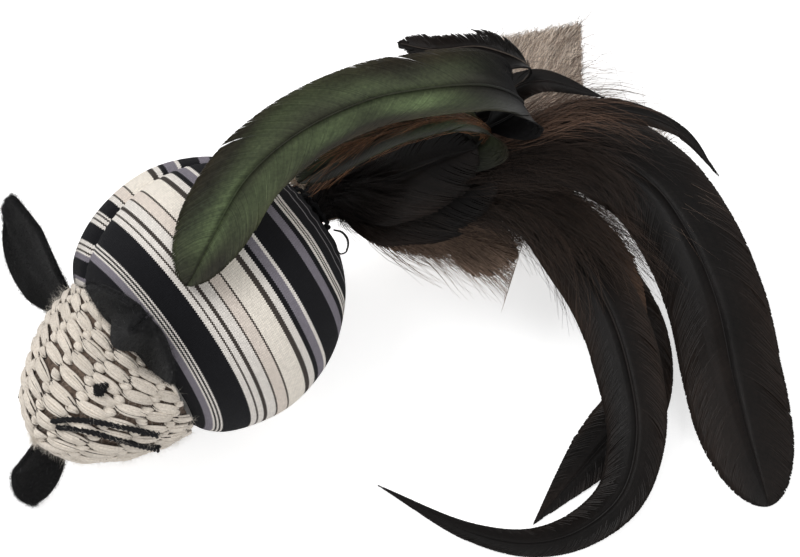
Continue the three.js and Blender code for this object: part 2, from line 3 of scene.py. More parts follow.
import bpy
import numpy as np
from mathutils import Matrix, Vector


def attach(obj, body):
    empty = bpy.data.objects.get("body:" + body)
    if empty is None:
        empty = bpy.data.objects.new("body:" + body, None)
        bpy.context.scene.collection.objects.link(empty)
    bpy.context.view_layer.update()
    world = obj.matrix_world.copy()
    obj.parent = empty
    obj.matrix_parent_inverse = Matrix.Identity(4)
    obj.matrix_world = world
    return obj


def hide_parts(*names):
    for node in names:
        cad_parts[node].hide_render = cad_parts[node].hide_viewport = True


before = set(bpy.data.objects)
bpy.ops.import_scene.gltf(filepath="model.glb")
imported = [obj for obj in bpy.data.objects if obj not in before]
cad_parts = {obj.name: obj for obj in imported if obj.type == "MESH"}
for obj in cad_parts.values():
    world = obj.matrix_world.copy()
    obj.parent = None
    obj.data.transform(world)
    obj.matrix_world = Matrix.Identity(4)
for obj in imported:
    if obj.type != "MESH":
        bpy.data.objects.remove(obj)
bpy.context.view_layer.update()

# View: the toy is looked at steeply from its near side, with the nose at the lower left.
# A long lens keeps the outlines as flat as a product picture has them.
CAMERA_TURN = math.radians(-41.3)
CAMERA_RISE = math.radians(65)
VIEW_WIDTH = 0.240
LENS, SENSOR = 300, 36
BALL_CENTRE = Vector((0, 0, 0.0405))
view_right = Vector((math.cos(CAMERA_TURN), math.sin(CAMERA_TURN), 0))
view_back = Vector((
    math.sin(CAMERA_TURN) * math.cos(CAMERA_RISE),
    -math.cos(CAMERA_TURN) * math.cos(CAMERA_RISE),
    math.sin(CAMERA_RISE),
))
view_up = view_back.cross(view_right)
camera = bpy.data.objects.new("camera", bpy.data.cameras.new("camera"))
camera.data.lens = LENS
camera.data.sensor_width = SENSOR
camera_aim = BALL_CENTRE + view_right * 0.0579 + view_up * 0.00495
camera.location = camera_aim + view_back * (VIEW_WIDTH * LENS / SENSOR)
camera.rotation_mode = "QUATERNION"
camera.rotation_quaternion = (-view_back).to_track_quat("-Z", "Y")
bpy.context.scene.collection.objects.link(camera)
bpy.context.scene.camera = camera
bpy.context.scene.view_settings.view_transform = "Standard"

# Studio: a soft white tent with one large lamp high on the left and a weaker one on the right.
# The pale floor reads white to the camera and keeps the toy's faint shadow.
world = bpy.data.worlds.new("tent")
world.use_nodes = True
bpy.context.scene.world = world
world_nodes, world_link = world.node_tree.nodes, world.node_tree.links.new
tent = world_nodes["Background"]
tent.inputs["Color"].default_value = (1, 1, 1, 1)
tent.inputs["Strength"].default_value = 0.62
backdrop = world_nodes.new("ShaderNodeBackground")
backdrop.inputs["Color"].default_value = (1, 1, 1, 1)
backdrop.inputs["Strength"].default_value = 1.0
ray = world_nodes.new("ShaderNodeLightPath")
tent_mix = world_nodes.new("ShaderNodeMixShader")
world_link(ray.outputs["Is Camera Ray"], tent_mix.inputs[0])
world_link(tent.outputs[0], tent_mix.inputs[1])
world_link(backdrop.outputs[0], tent_mix.inputs[2])
world_link(tent_mix.outputs[0], world_nodes["World Output"].inputs["Surface"])


def lamp(name, place, size, power):
    """A square area lamp at a place given by view right, view up and height, turned to the toy."""
    made = bpy.data.objects.new(name, bpy.data.lights.new(name, "AREA"))
    made.data.size = size
    made.data.energy = power
    made.location = camera_aim + place[0] * view_right + place[1] * view_up + place[2] * view_back
    made.rotation_mode = "QUATERNION"
    made.rotation_quaternion = (camera_aim - made.location).to_track_quat("-Z", "Y")
    bpy.context.scene.collection.objects.link(made)


lamp("lamp_left", (-0.75, 0.75, 1.1), 0.7, 11.0)
lamp("lamp_right", (0.9, -0.2, 1.2), 0.9, 3.6)


def shader(name, roughness, specular=0.5, sheen=0.0):
    """A Principled material, its shader, a function that adds a node and one that sets or links
    a node's inputs."""
    material = bpy.data.materials.new(name)
    material.use_nodes = True
    tree = material.node_tree
    surface = tree.nodes["Principled BSDF"]
    surface.inputs["Roughness"].default_value = roughness
    surface.inputs["Specular IOR Level"].default_value = specular
    surface.inputs["Sheen Weight"].default_value = sheen

    def node(kind, inputs, **settings):
        made = tree.nodes.new("ShaderNode" + kind)
        for key, value in settings.items():
            setattr(made, key, value)
        wire(made, inputs)
        return made

    def wire(made, inputs):
        for key, value in inputs.items():
            if isinstance(value, bpy.types.NodeSocket):
                tree.links.new(value, made.inputs[key])
            else:
                made.inputs[key].default_value = value

    return material, surface, node, wire


floor_mesh = bpy.data.meshes.new("floor")
floor_mesh.from_pydata([(-3, -3, 0), (3, -3, 0), (3, 3, 0), (-3, 3, 0)], [], [(0, 1, 2, 3)])
floor = bpy.data.objects.new("floor", floor_mesh)
bpy.context.scene.collection.objects.link(floor)
paper, paper_surface, paper_node, paper_wire = shader("white_paper", 1, 0)
paper_wire(paper_surface, {"Base Color": (0.86, 0.86, 0.86, 1)})
to_camera = paper_node("LightPath", {}).outputs["Is Camera Ray"]
lift = paper_node("Math", {0: to_camera, 1: 0.60}, operation="MULTIPLY")
glow = paper_node("Emission", {"Strength": lift.outputs[0]})
both = paper_node("AddShader", {0: paper_surface.outputs[0], 1: glow.outputs[0]})
paper_wire(paper.node_tree.nodes["Material Output"], {"Surface": both.outputs[0]})
floor_mesh.materials.append(paper)

# Whiskers: two strands of black yarn on each cheek, cut bare. Each is three twisted plies, is
# sewn in beside the nose and lies back along the knit.
NOSE_DROOP = math.radians(5)
BALL_RADIUS = 0.041
SEAM_AHEAD = 0.030
SEAM_RADIUS = math.sqrt(BALL_RADIUS**2 - SEAM_AHEAD**2)
SNOUT_LENGTH = 0.037
TOP_ROLL = math.radians(38)
to_tail = np.array([math.cos(NOSE_DROOP), 0, math.sin(NOSE_DROOP)])
to_top = np.array([-math.sin(NOSE_DROOP), 0, math.cos(NOSE_DROOP)])
to_far = np.array([0, 1.0, 0])


def on_mouse(along, radius, turn):
    """Ball centre + along x nose-to-tail + radius x (cos turn x top + sin turn x far side)."""
    along, radius, turn = (np.asarray(x, float)[..., None] for x in (along, radius, turn))
    return np.array(BALL_CENTRE) + along * to_tail + radius * (
        np.cos(turn) * to_top + np.sin(turn) * to_far
    )


def snout_radius(from_seam):
    """The blunt cone: opening radius x root of (1 - share of the length to the power 1.5)."""
    share = np.clip(np.asarray(from_seam) / SNOUT_LENGTH, 0, 1)
    return SEAM_RADIUS * 0.985 * np.sqrt(1 - share**1.5)


def unit(vectors):
    """Each vector over its own length."""
    return vectors / np.maximum(np.linalg.norm(vectors, axis=-1, keepdims=True), 1e-12)


def piece(name, points, faces, material, body, slot):
    """A mesh object from an array of points and one or more arrays of faces, riding on a body."""
    points = np.asarray(points, np.float32).reshape(-1, 3)
    groups = [np.asarray(group) for group in (faces if isinstance(faces, list) else [faces])]
    corners = np.concatenate([group.ravel() for group in groups]).astype(np.int32)
    totals = np.concatenate([np.full(len(group), group.shape[1], np.int32) for group in groups])
    mesh = bpy.data.meshes.new(name)
    mesh.vertices.add(len(points))
    mesh.vertices.foreach_set("co", points.ravel())
    mesh.loops.add(len(corners))
    mesh.loops.foreach_set("vertex_index", corners)
    mesh.polygons.add(len(totals))
    mesh.polygons.foreach_set("loop_start", np.cumsum(totals, dtype=np.int32) - totals)
    mesh.polygons.foreach_set("loop_total", totals)
    mesh.polygons.foreach_set("use_smooth", np.ones(len(totals), bool))
    mesh.update(calc_edges=True)
    mesh.materials.append(material)
    made = bpy.data.objects.new(name, mesh)
    bpy.context.scene.collection.objects.link(made)
    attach(made, body)
    return made


def tinted(made, colours):
    """Stores one linear colour a point as the attribute that the piece's material reads."""
    attribute = made.data.color_attributes.new("tint", "FLOAT_COLOR", "POINT")
    colours = np.asarray(colours, np.float32).reshape(-1, 3)
    rgba = np.concatenate([colours, np.ones((len(colours), 1), np.float32)], axis=1)
    attribute.data.foreach_set("color", rgba.ravel())


def linear(red, green, blue):
    """A colour as it looks on a screen, 0 to 255, made linear."""
    share = np.array([red, green, blue]) / 255
    return np.where(share <= 0.04045, share / 12.92, ((share + 0.055) / 1.055) ** 2.4)


def shown(name, mesh, material, body, slot, colour, node=None):
    """A piece of one colour, as it looks on a screen, that stands for a CAD node where one is given."""
    made = piece(name, *mesh, material, body, slot)
    tinted(made, np.tile(linear(*colour), (len(made.data.vertices), 1)))
    if node:
        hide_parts(node)
    return made


def strands(centres, sides, normals, widths, heights):
    """Closed four-sided tubes along rows of centres (strand, station, xyz): each ring is centre +-
    half width x side and centre +- half height x normal. Returns the points and the quads."""
    count, stations = centres.shape[:2]
    widths, heights = (np.broadcast_to(x, (count, stations))[..., None] for x in (widths, heights))
    rings = np.stack([
        centres + sides * widths, centres + normals * heights,
        centres - sides * widths, centres - normals * heights,
    ], axis=2)
    first = (np.arange(count)[:, None] * stations + np.arange(stations - 1)) * 4
    k = np.arange(4)
    a = first[..., None] + k
    b = first[..., None] + (k + 1) % 4
    walls = np.stack([a, b, b + 4, a + 4], axis=-1).reshape(-1, 4)
    low = np.arange(count)[:, None] * stations * 4
    caps = np.concatenate([low + k[::-1], low + (stations - 1) * 4 + k])
    return rings.reshape(-1, 3), np.concatenate([walls, caps])


def frames(centres, up):
    """Sides and normals square to each strand: side = up x direction, normal = direction x side."""
    along = unit(np.gradient(centres, axis=1))
    sides = unit(np.cross(up, along))
    return sides, unit(np.cross(along, sides))


def joined(meshes):
    """Several (points, quads) as one."""
    before = np.cumsum([0] + [len(points) for points, _ in meshes])
    quads = [quads + low for (_, quads), low in zip(meshes, before)]
    return np.concatenate([points for points, _ in meshes]), np.concatenate(quads)


def closed_slab(front, back):
    """A closed slab from two grids of points, its front and its back, with a wall round the rim."""
    rows, columns = front.shape[:2]
    half = rows * columns
    a = (np.arange(rows - 1)[:, None] * columns + np.arange(columns - 1)).ravel()
    sheet = np.stack([a, a + columns, a + columns + 1, a + 1], -1)
    rim = np.concatenate([
        np.arange(columns), np.arange(1, rows) * columns + columns - 1,
        (rows - 1) * columns + np.arange(columns - 1)[::-1], np.arange(1, rows - 1)[::-1] * columns,
    ])
    after = np.roll(rim, -1)
    wall = np.stack([rim, after, after + half, rim + half], -1)
    points = np.concatenate([front.reshape(-1, 3), back.reshape(-1, 3)])
    return points, np.concatenate([sheet, sheet[:, ::-1] + half, wall])


def ring_corners(rows, columns):
    """For each quad between closed rings of points: its first corner and the next one round."""
    i, j = np.meshgrid(np.arange(rows - 1), np.arange(columns), indexing="ij")
    return i * columns + j, i * columns + (j + 1) % columns


def multiply_colours(node, a, b):
    """The product of two colour sockets."""
    made = node("Mix", {}, data_type="RGBA", blend_type="MULTIPLY")
    made.inputs[0].default_value = 1.0
    links = made.id_data.links
    links.new(a, made.inputs[6])
    links.new(b, made.inputs[7])
    return made.outputs[2]


def spun_material(name, dark, light, scale, roughness=0.92, specular=0.15, sheen=0.1, bump=0.3):
    """Spun fibre or felt: the tint attribute times a fine noise between dark and light, and the
    same noise as bump."""
    material, surface, node, wire = shader(name, roughness, specular, sheen)
    surface.inputs["Sheen Roughness"].default_value = 0.5
    place = node("TexCoord", {}).outputs["Object"]
    fine = node("TexNoise", {"Vector": place, "Scale": scale, "Detail": 4.0, "Roughness": 0.7})
    shade = node("ValToRGB", {"Fac": fine.outputs["Fac"]})
    for stop, position, colour in zip(shade.color_ramp.elements, (0.32, 0.68), (dark, light)):
        stop.position = position
        stop.color = (*colour, 1)
    tint = node("Attribute", {}, attribute_name="tint")
    colour = multiply_colours(node, shade.outputs["Color"], tint.outputs["Color"])
    rough = node("Bump", {"Height": fine.outputs["Fac"], "Strength": bump, "Distance": 0.0003})
    wire(surface, {"Base Color": colour, "Normal": rough.outputs["Normal"]})
    return material


def plied(path, radius, plies, turns, stations, fray=0.0):
    """Plies wound round a path: centre + 0.5 radius x (cos a x side + sin a x normal), where a goes
    round by a number of turns, so that the strand reads as twisted yarn; a cut end frays open."""
    path = np.asarray(path)
    steps = np.linspace(0, len(path) - 1, stations)
    line = np.stack([np.interp(steps, np.arange(len(path)), path[:, k]) for k in range(3)], -1)
    sides, normals = frames(line[None], np.array([0.13, 0.21, 0.97]))
    phase = np.arange(plies)[:, None] * 2 * math.pi / plies
    angle = phase + np.linspace(0, 2 * math.pi * turns, stations)[None]
    cosine, sine = np.cos(angle)[..., None], np.sin(angle)[..., None]
    opened = (1 + fray * np.linspace(0, 1, stations) ** 12)[None, :, None]
    centres = line[None] + 0.5 * radius * opened * (cosine * sides + sine * normals)
    out = cosine * sides + sine * normals
    across = np.cross(out, unit(np.gradient(centres, axis=1)))
    return line, strands(centres, unit(across), unit(out), 0.62 * radius, 0.62 * radius)


def smooth_path(points, count):
    """The points' centripetal Catmull-Rom curve at equal steps of its length: on each span the
    Hermite curve whose end slopes weigh the neighbours by the root of their distance."""
    p = np.asarray(points, float)
    p = np.concatenate([[2 * p[0] - p[1]], p, [2 * p[-1] - p[-2]]])
    gaps = np.maximum(np.linalg.norm(np.diff(p, axis=0), axis=1), 1e-9) ** 0.5
    t = np.linspace(0, 1, 60, endpoint=False)[:, None]
    spans = []
    for i in range(1, len(p) - 2):
        a, b, c = gaps[i - 1], gaps[i], gaps[i + 1]
        m0 = ((p[i] - p[i - 1]) / a - (p[i + 1] - p[i - 1]) / (a + b) + (p[i + 1] - p[i]) / b) * b
        m1 = ((p[i + 1] - p[i]) / b - (p[i + 2] - p[i]) / (b + c) + (p[i + 2] - p[i + 1]) / c) * b
        spans.append(
            (2 * t**3 - 3 * t**2 + 1) * p[i] + (t**3 - 2 * t**2 + t) * m0
            + (3 * t**2 - 2 * t**3) * p[i + 1] + (t**3 - t**2) * m1
        )
    line = np.concatenate([*spans, p[-2][None]])
    run = np.concatenate([[0], np.cumsum(np.linalg.norm(np.diff(line, axis=0), axis=1))])
    even = np.linspace(0, run[-1], count)
    return np.stack([np.interp(even, run, line[:, k]) for k in range(3)], axis=-1), run[-1]


WHISKER_ROOT = 32.5  # millimetres from the seam
yarn_black = spun_material("black_yarn", (0.35, 0.35, 0.37), (1, 1, 1), 2600, sheen=0.05)
for side, word in ((-1, "near"), (1, "far")):
    for strand, from_seam, first, last in (("upper", 11, 54, 115), ("lower", 12.2, 64, 136)):
        share = np.linspace(0, 1, 7)
        back = (WHISKER_ROOT + (from_seam - WHISKER_ROOT) * share) / 1000
        turn = TOP_ROLL + side * np.radians(first + (last - first) * share)
        points = on_mouse(-SEAM_AHEAD - back, snout_radius(back) + 0.0015, turn)
        path, run = smooth_path(points, 60)
        line, tube = plied(path, 0.00088, 3, 7, 110, fray=0.9)
        node = f"{word}_whisker_{strand}"
        whisker = shown(node + "_yarn", tube, yarn_black, "mouse", "black_yarn", (34, 34, 36), node)

# Body cover: two panels of fine striped sock knit, sewn up the spine and the belly and blown tight
# by the filling. The stripes of the two panels don't meet at the seam, where the knit puckers.
SPINE_SEAM = math.radians(50)
BELLY_SEAM = math.radians(230)
FRONT_ANGLE = math.acos(-SEAM_AHEAD / BALL_RADIUS) - 0.004
TAIL_HOLE = 0.00714
TAIL_ANGLE = math.asin(TAIL_HOLE / BALL_RADIUS)
SEWN_SLACK = 0.0009
COVER_WALL = 0.0010
COURSE = 0.00057
WALE = 0.00085
BLOW_STEPS = 20


def seam_distance(turn):
    """Angle to the nearer of the two seams, which lie half a turn apart."""
    return np.abs((turn - SPINE_SEAM + math.pi / 2) % math.pi - math.pi / 2)


def blown_ball():
    """Rise of the cover over its sewn size, on a grid of polar angle and turn: a closed ball of
    cloth whose seams and ends are held is blown up from inside by Blender's Cloth."""
    rows, columns = 56, 144
    polar = np.linspace(FRONT_ANGLE, TAIL_ANGLE, rows)
    turn = SPINE_SEAM + np.linspace(0, 2 * math.pi, columns, endpoint=False)
    size = 100  # the cloth is worked in centimetres, where its forces suit it
    start = size * (BALL_RADIUS - SEWN_SLACK)
    polars, turns = np.meshgrid(polar, turn, indexing="ij")
    grid = start * np.stack([
        np.sin(polars) * np.cos(turns), np.sin(polars) * np.sin(turns), np.cos(polars)
    ], -1)
    ends = start * np.array([[0, 0, math.cos(FRONT_ANGLE)], [0, 0, math.cos(TAIL_ANGLE)]])
    points = np.concatenate([grid.reshape(-1, 3), ends])
    a, b = ring_corners(rows, columns)
    quads = np.stack([a, b, b + columns, a + columns], -1).reshape(-1, 4)
    ring = np.arange(columns)
    tail = (rows - 1) * columns
    fans = [(rows * columns, (k + 1) % columns, k) for k in ring]
    fans += [(rows * columns + 1, tail + k, tail + (k + 1) % columns) for k in ring]
    mesh = bpy.data.meshes.new("blown_cover")
    mesh.from_pydata(points.tolist(), [], quads.tolist() + fans)
    ball = bpy.data.objects.new("blown_cover", mesh)
    bpy.context.scene.collection.objects.link(ball)
    held = np.zeros((rows, columns), bool)
    held[[0, 1, -2, -1]] = True
    held[:, [0, columns // 2]] = True
    pins = ball.vertex_groups.new(name="held")
    pins.add([int(k) for k in np.flatnonzero(held)] + [rows * columns, rows * columns + 1], 1, "ADD")
    cloth = ball.modifiers.new("cloth", "CLOTH").settings
    cloth.vertex_group_mass = "held"
    cloth.quality = 5
    cloth.mass = 0.3
    cloth.tension_stiffness = cloth.compression_stiffness = 12
    cloth.bending_stiffness = 0.4
    cloth.use_pressure = True
    cloth.uniform_pressure_force = 4
    cloth.effector_weights.gravity = 0
    scene = bpy.context.scene
    scene.frame_start, scene.frame_end = 1, BLOW_STEPS
    for step in range(1, BLOW_STEPS + 1):
        scene.frame_set(step)
    graph = bpy.context.evaluated_depsgraph_get()
    blown = ball.evaluated_get(graph).to_mesh()
    places = np.empty(len(blown.vertices) * 3, np.float32)
    blown.vertices.foreach_get("co", places)
    reach = np.linalg.norm(places.reshape(-1, 3)[:rows * columns].astype(float), axis=1)
    scene.frame_set(1)
    bpy.data.objects.remove(ball)
    rise = (reach.reshape(rows, columns) - start) / size
    return polar, np.clip(rise, 0, 0.0014)


rise_polar, rise = blown_ball()


def cover_rise(polar, turn):
    """The blown rise between the grid's points, weighted by how near each of the four is."""
    rows, columns = rise.shape
    row = np.clip((polar - rise_polar[0]) / (rise_polar[-1] - rise_polar[0]), 0, 1) * (rows - 1)
    column = (turn - SPINE_SEAM) % (2 * math.pi) / (2 * math.pi) * columns
    r0 = np.minimum(row.astype(int), rows - 2)
    c0 = column.astype(int) % columns
    r, c = row - r0, column - column.astype(int)
    c1 = (c0 + 1) % columns
    low = rise[r0, c0] * (1 - c) + rise[r0, c1] * c
    high = rise[r0 + 1, c0] * (1 - c) + rise[r0 + 1, c1] * c
    return low * (1 - r) + high * r


def cover_radius(polar, turn):
    """Sewn radius + blown rise - the groove drawn in by the seams +- puckers, which run along the
    seams and fan out from the gathered tail, as waves that fade with distance."""
    away = seam_distance(turn)
    full = np.sin(polar)
    run = polar * BALL_RADIUS
    groove = full * (0.0013 * np.exp(-((away / 0.045) ** 2)) + 0.0007 * np.exp(-((away / 0.14) ** 2)))
    pucker = 0.00022 * np.exp(-away / 0.09) * np.sin(run * 2100 + 2.2 * np.sin(run * 260)) * full
    from_tail = (polar - TAIL_ANGLE) * BALL_RADIUS
    folds = np.cos(19 * turn + 1.7 * np.sin(2 * turn)) + 0.6 * np.cos(31 * turn + 2 * np.sin(3 * turn))
    gather = 0.00055 * folds * np.exp(-from_tail / 0.0075)
    from_front = (FRONT_ANGLE - polar) * BALL_RADIUS
    front = 0.0006 * np.exp(-((from_front / 0.0025) ** 2))
    lumps = 0.00022 * (
        np.sin(3.1 * turn + 2.3 * polar) * np.sin(2.7 * polar + 1.1)
        + 0.7 * np.sin(7.3 * turn - 5.1 * polar + 0.6) * np.sin(6.1 * polar)
    )
    return BALL_RADIUS - SEWN_SLACK + cover_rise(polar, turn) - groove + pucker + gather - front + lumps


def cover_panel(name, node, first, last, material):
    """A closed shell between two seams: the outer face at the cover's radius, the inner one a wall
    below, joined round the edge. Its own map holds the run from the snout and the run round."""
    rows, columns = 150, 176
    polar = np.linspace(FRONT_ANGLE, TAIL_ANGLE, rows)
    edge = np.linspace(0, 1, columns)
    turn = first + (last - first) * (edge - 0.12 * np.sin(2 * math.pi * edge) / (2 * math.pi))
    polars, turns = np.meshgrid(polar, turn, indexing="ij")
    inset = 0.00012 / (BALL_RADIUS * np.sin(polars))
    turns = np.clip(turns, first + inset, last - inset)
    outer = cover_radius(polars, turns)
    faces = []
    for radius in (outer, outer - COVER_WALL):
        place = on_mouse(radius * np.cos(polars), radius * np.sin(polars), turns)
        place[..., 2] = np.maximum(place[..., 2], 0.0004 + (outer - radius))
        faces.append(place)
    made = piece(name, *closed_slab(*faces), material, "mouse", "sock_knit")
    shift = 0.0043 * np.tanh((np.degrees(turns) + 44) / 85)
    if first == SPINE_SEAM:
        shift = 0.0020 * np.sin(2 * (turns - first))
    along = (FRONT_ANGLE + 0.004 - polars) * BALL_RADIUS - shift
    around = turns * BALL_RADIUS
    flat = np.stack([along, around], -1).reshape(-1, 2) * 10
    flat = np.concatenate([flat, flat])
    knit_map = made.data.uv_layers.new(name="knit")
    order = np.empty(len(made.data.loops), np.int32)
    made.data.loops.foreach_get("vertex_index", order)
    knit_map.data.foreach_set("uv", flat[order].astype(np.float32).ravel())
    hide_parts(node)


KNIT_COLOURS = {
    "k": (27, 27, 30), "l": (134, 129, 138), "w": (238, 232, 225), "h": (70, 64, 60),
    "p": (234, 222, 211), "c": (248, 240, 228), "d": (72, 65, 60), "g": (150, 146, 148),
}
BANDS_END = 0.0915


def knit_material(name, bands):
    """Plain knit in bands: each V-shaped stitch takes the colour of its own course, so borders run
    in fine zigzags; between stitches the yarn falls away in bump and shade."""
    material, surface, node, wire = shader(name, 0.95, 0.1, 0.02)
    surface.inputs["Sheen Roughness"].default_value = 0.6
    split = node("SeparateXYZ", {"Vector": node("UVMap", {}, uv_map="knit").outputs["UV"]})

    def maths(operation, *values):
        return node("Math", dict(enumerate(values)), operation=operation).outputs[0]

    wale = maths("DIVIDE", split.outputs["Y"], WALE * 10)
    leg = maths("ABSOLUTE", maths("MULTIPLY_ADD", maths("FRACT", wale), 2.0, -1.0))
    row = maths("MULTIPLY_ADD", leg, 0.7, maths("DIVIDE", split.outputs["X"], COURSE * 10))
    course = maths("FLOOR", row)
    within = maths("ABSOLUTE", maths("MULTIPLY_ADD", maths("FRACT", row), 2.0, -1.0))
    place = maths("MULTIPLY", maths("ADD", course, 0.5), COURSE)
    colours = []
    half = len(bands) // 2
    middle = bands[half][0] / 1000
    for part, high in ((bands[:half + 1], middle + 0.0001), (bands[half:], BANDS_END)):
        low = part[0][0] / 1000
        ramp = node("ValToRGB", {"Fac": maths("DIVIDE", maths("SUBTRACT", place, low), high - low)})
        ramp.color_ramp.interpolation = "CONSTANT"
        stops = ramp.color_ramp.elements
        stops[0].position = 0
        for k, (start, key) in enumerate(part):
            stop = stops.new((start / 1000 - low) / (high - low)) if k else stops[0]
            stop.color = (*linear(*KNIT_COLOURS[key]), 1)
        stops.remove(stops[-1])
        colours.append(ramp.outputs["Color"])
    late = maths("GREATER_THAN", place, middle)
    banded = node("Mix", {}, data_type="RGBA")
    wire(banded, {0: late, 6: colours[0], 7: colours[1]})
    stitch = node("CombineXYZ", {"X": maths("FLOOR", wale), "Y": course})
    speck = node("TexWhiteNoise", {"Vector": stitch.outputs[0]}, noise_dimensions="3D")
    crown = maths("SUBTRACT", 1.0, maths("POWER", within, 2.0))
    valley = maths("SUBTRACT", 1.0, maths("POWER", leg, 6.0))
    height = maths("MULTIPLY", crown, valley)
    shade = maths("MULTIPLY_ADD", height, 0.30, 0.72)
    shade = maths("ADD", shade, maths("MULTIPLY_ADD", speck.outputs["Value"], 0.14, -0.05))
    grey = node("CombineXYZ", {"X": shade, "Y": shade, "Z": shade}).outputs[0]
    wire(surface, {"Base Color": multiply_colours(node, banded.outputs[2], grey)})
    wool = node("TexNoise", {"Vector": node("TexCoord", {}).outputs["Object"], "Scale": 1900.0,
                             "Detail": 3.0})
    relief = maths("MULTIPLY_ADD", wool.outputs["Fac"], 0.35, height)
    bump = node("Bump", {"Height": relief, "Strength": 0.55, "Distance": 0.00025})
    wire(surface, {"Normal": bump.outputs["Normal"]})
    return material


near_bands = [
    (0, "k"), (6.2, "l"), (8.5, "w"), (9.1, "k"), (9.7, "w"), (10.2, "k"), (10.8, "w"),
    (11.4, "k"), (20.1, "w"), (21.4, "d"), (22.0, "w"), (23.6, "h"), (24.8, "w"), (27.6, "d"),
    (28.2, "p"), (31.6, "d"), (32.2, "c"), (38.5, "h"), (40.5, "w"), (42.6, "k"), (44.2, "l"),
    (47.15, "w"), (48.6, "k"), (57.2, "l"), (61.1, "k"), (63.0, "w"), (64.2, "h"), (64.9, "w"),
    (65.7, "h"), (66.2, "w"), (66.9, "k"), (72.2, "g"), (73.0, "k"), (76.2, "g"), (77.0, "k"),
]
far_bands = [
    (0, "w"), (1.6, "l"), (3.0, "k"), (8.0, "l"), (9.4, "w"), (10.2, "h"), (11.0, "w"), (11.9, "h"),
    (12.6, "w"), (13.4, "k"), (19.4, "w"), (20.3, "h"), (21.1, "w"), (21.9, "h"), (22.6, "w"),
    (23.5, "k"), (28.0, "w"), (29.4, "d"), (30.2, "p"), (33.4, "d"), (34.2, "c"), (42.0, "h"),
    (43.6, "w"), (45.2, "k"), (47.0, "l"), (50.4, "w"), (51.6, "k"), (58.2, "l"), (61.4, "k"),
    (64.0, "w"), (65.6, "h"), (66.4, "w"), (67.2, "k"), (73.0, "g"), (73.8, "k"),
]
cover_panel("near_panel_knit", "body_panel_near", BELLY_SEAM - 2 * math.pi, SPINE_SEAM,
            knit_material("sock_knit_near", near_bands))
cover_panel("far_panel_knit", "body_panel_far", SPINE_SEAM, BELLY_SEAM,
            knit_material("sock_knit_far", far_bands))


def turned(profile, columns, lumps=None):
    """A closed surface turned about the mouse's axis: (along, radius) pairs from nose to tail, with
    a point on the axis at each end; lumps(along, turn) adds to the radius."""
    profile = np.asarray(profile, float)
    turn = np.linspace(0, 2 * math.pi, columns, endpoint=False)
    along, turns = np.meshgrid(profile[1:-1, 0], turn, indexing="ij")
    radius = np.repeat(profile[1:-1, 1:2], columns, axis=1)
    if lumps is not None:
        radius = radius + lumps(along, turns) * np.minimum(radius / 0.004, 1)
    poles = on_mouse(profile[[0, -1], 0], np.zeros(2), np.zeros(2))
    points = np.concatenate([on_mouse(along, radius, turns).reshape(-1, 3), poles])
    rows = len(profile) - 2
    a, b = ring_corners(rows, columns)
    quads = np.stack([a, a + columns, b + columns, b], -1).reshape(-1, 4)
    k = np.arange(columns)
    after = (k + 1) % columns
    last = (rows - 1) * columns
    start = np.stack([np.full(columns, rows * columns), k, after], -1)
    end = np.stack([np.full(columns, rows * columns + 1), last + after, last + k], -1)
    return points, [quads, np.concatenate([start, end])]


# Filling: loose white polyester packed inside the cover and the snout, hollowed where the bound
# quills are pushed in. It shows nowhere, and keeps the lumps that the knit takes from it.
FILLING_RADIUS = 0.0372
SEAT_RADIUS, SEAT_MOUTH = 0.0062, 0.0072


def filling_profile():
    """(along, radius) of the filling: the snout's inside, the ball's inside, then the tail's seat."""
    ahead = np.linspace(0.0325, 0, 16)
    snout = np.stack([-SEAM_AHEAD - ahead, np.maximum(snout_radius(ahead) - 0.0034, 0)], 1)
    front, mouth = math.acos(-SEAM_AHEAD / FILLING_RADIUS), math.asin(SEAT_MOUTH / FILLING_RADIUS)
    polar = np.linspace(front, mouth, 26)
    ball = FILLING_RADIUS * np.stack([np.cos(polar), np.sin(polar)], 1)
    seat = np.linspace(0, math.pi / 2, 8)
    hollow = np.stack([0.0357 - SEAT_RADIUS * np.sin(seat), SEAT_RADIUS * np.cos(seat)], 1)
    return np.concatenate([snout, ball, hollow])


fluff_mesh = turned(
    filling_profile(), 96,
    lambda along, turn: 0.0003 * np.sin(9 * turn + 400 * along) * np.sin(5 * turn - 300 * along),
)
fluff_material = spun_material("polyester_filling", (0.75, 0.75, 0.74), (1, 1, 1), 700)
fluff = shown("polyester_filling", fluff_mesh, fluff_material, "mouse", "filling",
              (236, 235, 232), "stuffing")

# Snout: a cone cut from chunky hand-knit, with fat cream stitches of loosely spun plies over a
# dark marled ground. It is sewn up under the chin and to the ball's front edge.
CONE_SHARE = 0.6
STITCH_TURN = math.radians(-22)
STITCH_STATIONS = 13
HAIR_STATIONS, HAIR_WIDTH = 4, 0.00003
stations = np.linspace(0, SNOUT_LENGTH * 0.9995, 800)
per_step = np.gradient(stations) / np.maximum(snout_radius(stations), 1e-5)
flat_reach = 1.22 * snout_radius(0) / CONE_SHARE * np.exp(
    -CONE_SHARE * (np.cumsum(per_step) - per_step[0])
)


def on_snout(x, y, height):
    """Wraps the flat knit onto the snout: flat distance and angle from the cone's point give the
    place along and round it, and height stands square to the surface."""
    reach, angle = np.hypot(x, y), np.arctan2(x, y)
    from_seam = np.interp(reach, flat_reach[::-1], stations[::-1])
    turn = STITCH_TURN + angle / CONE_SHARE
    radius = snout_radius(from_seam)
    slope = (snout_radius(from_seam - 1e-5) - snout_radius(from_seam + 1e-5)) / 2e-5
    lean = np.arctan(np.clip(slope, 0, 60))
    return on_mouse(
        -SEAM_AHEAD - from_seam - height * np.sin(lean), radius + height * np.cos(lean), turn
    )


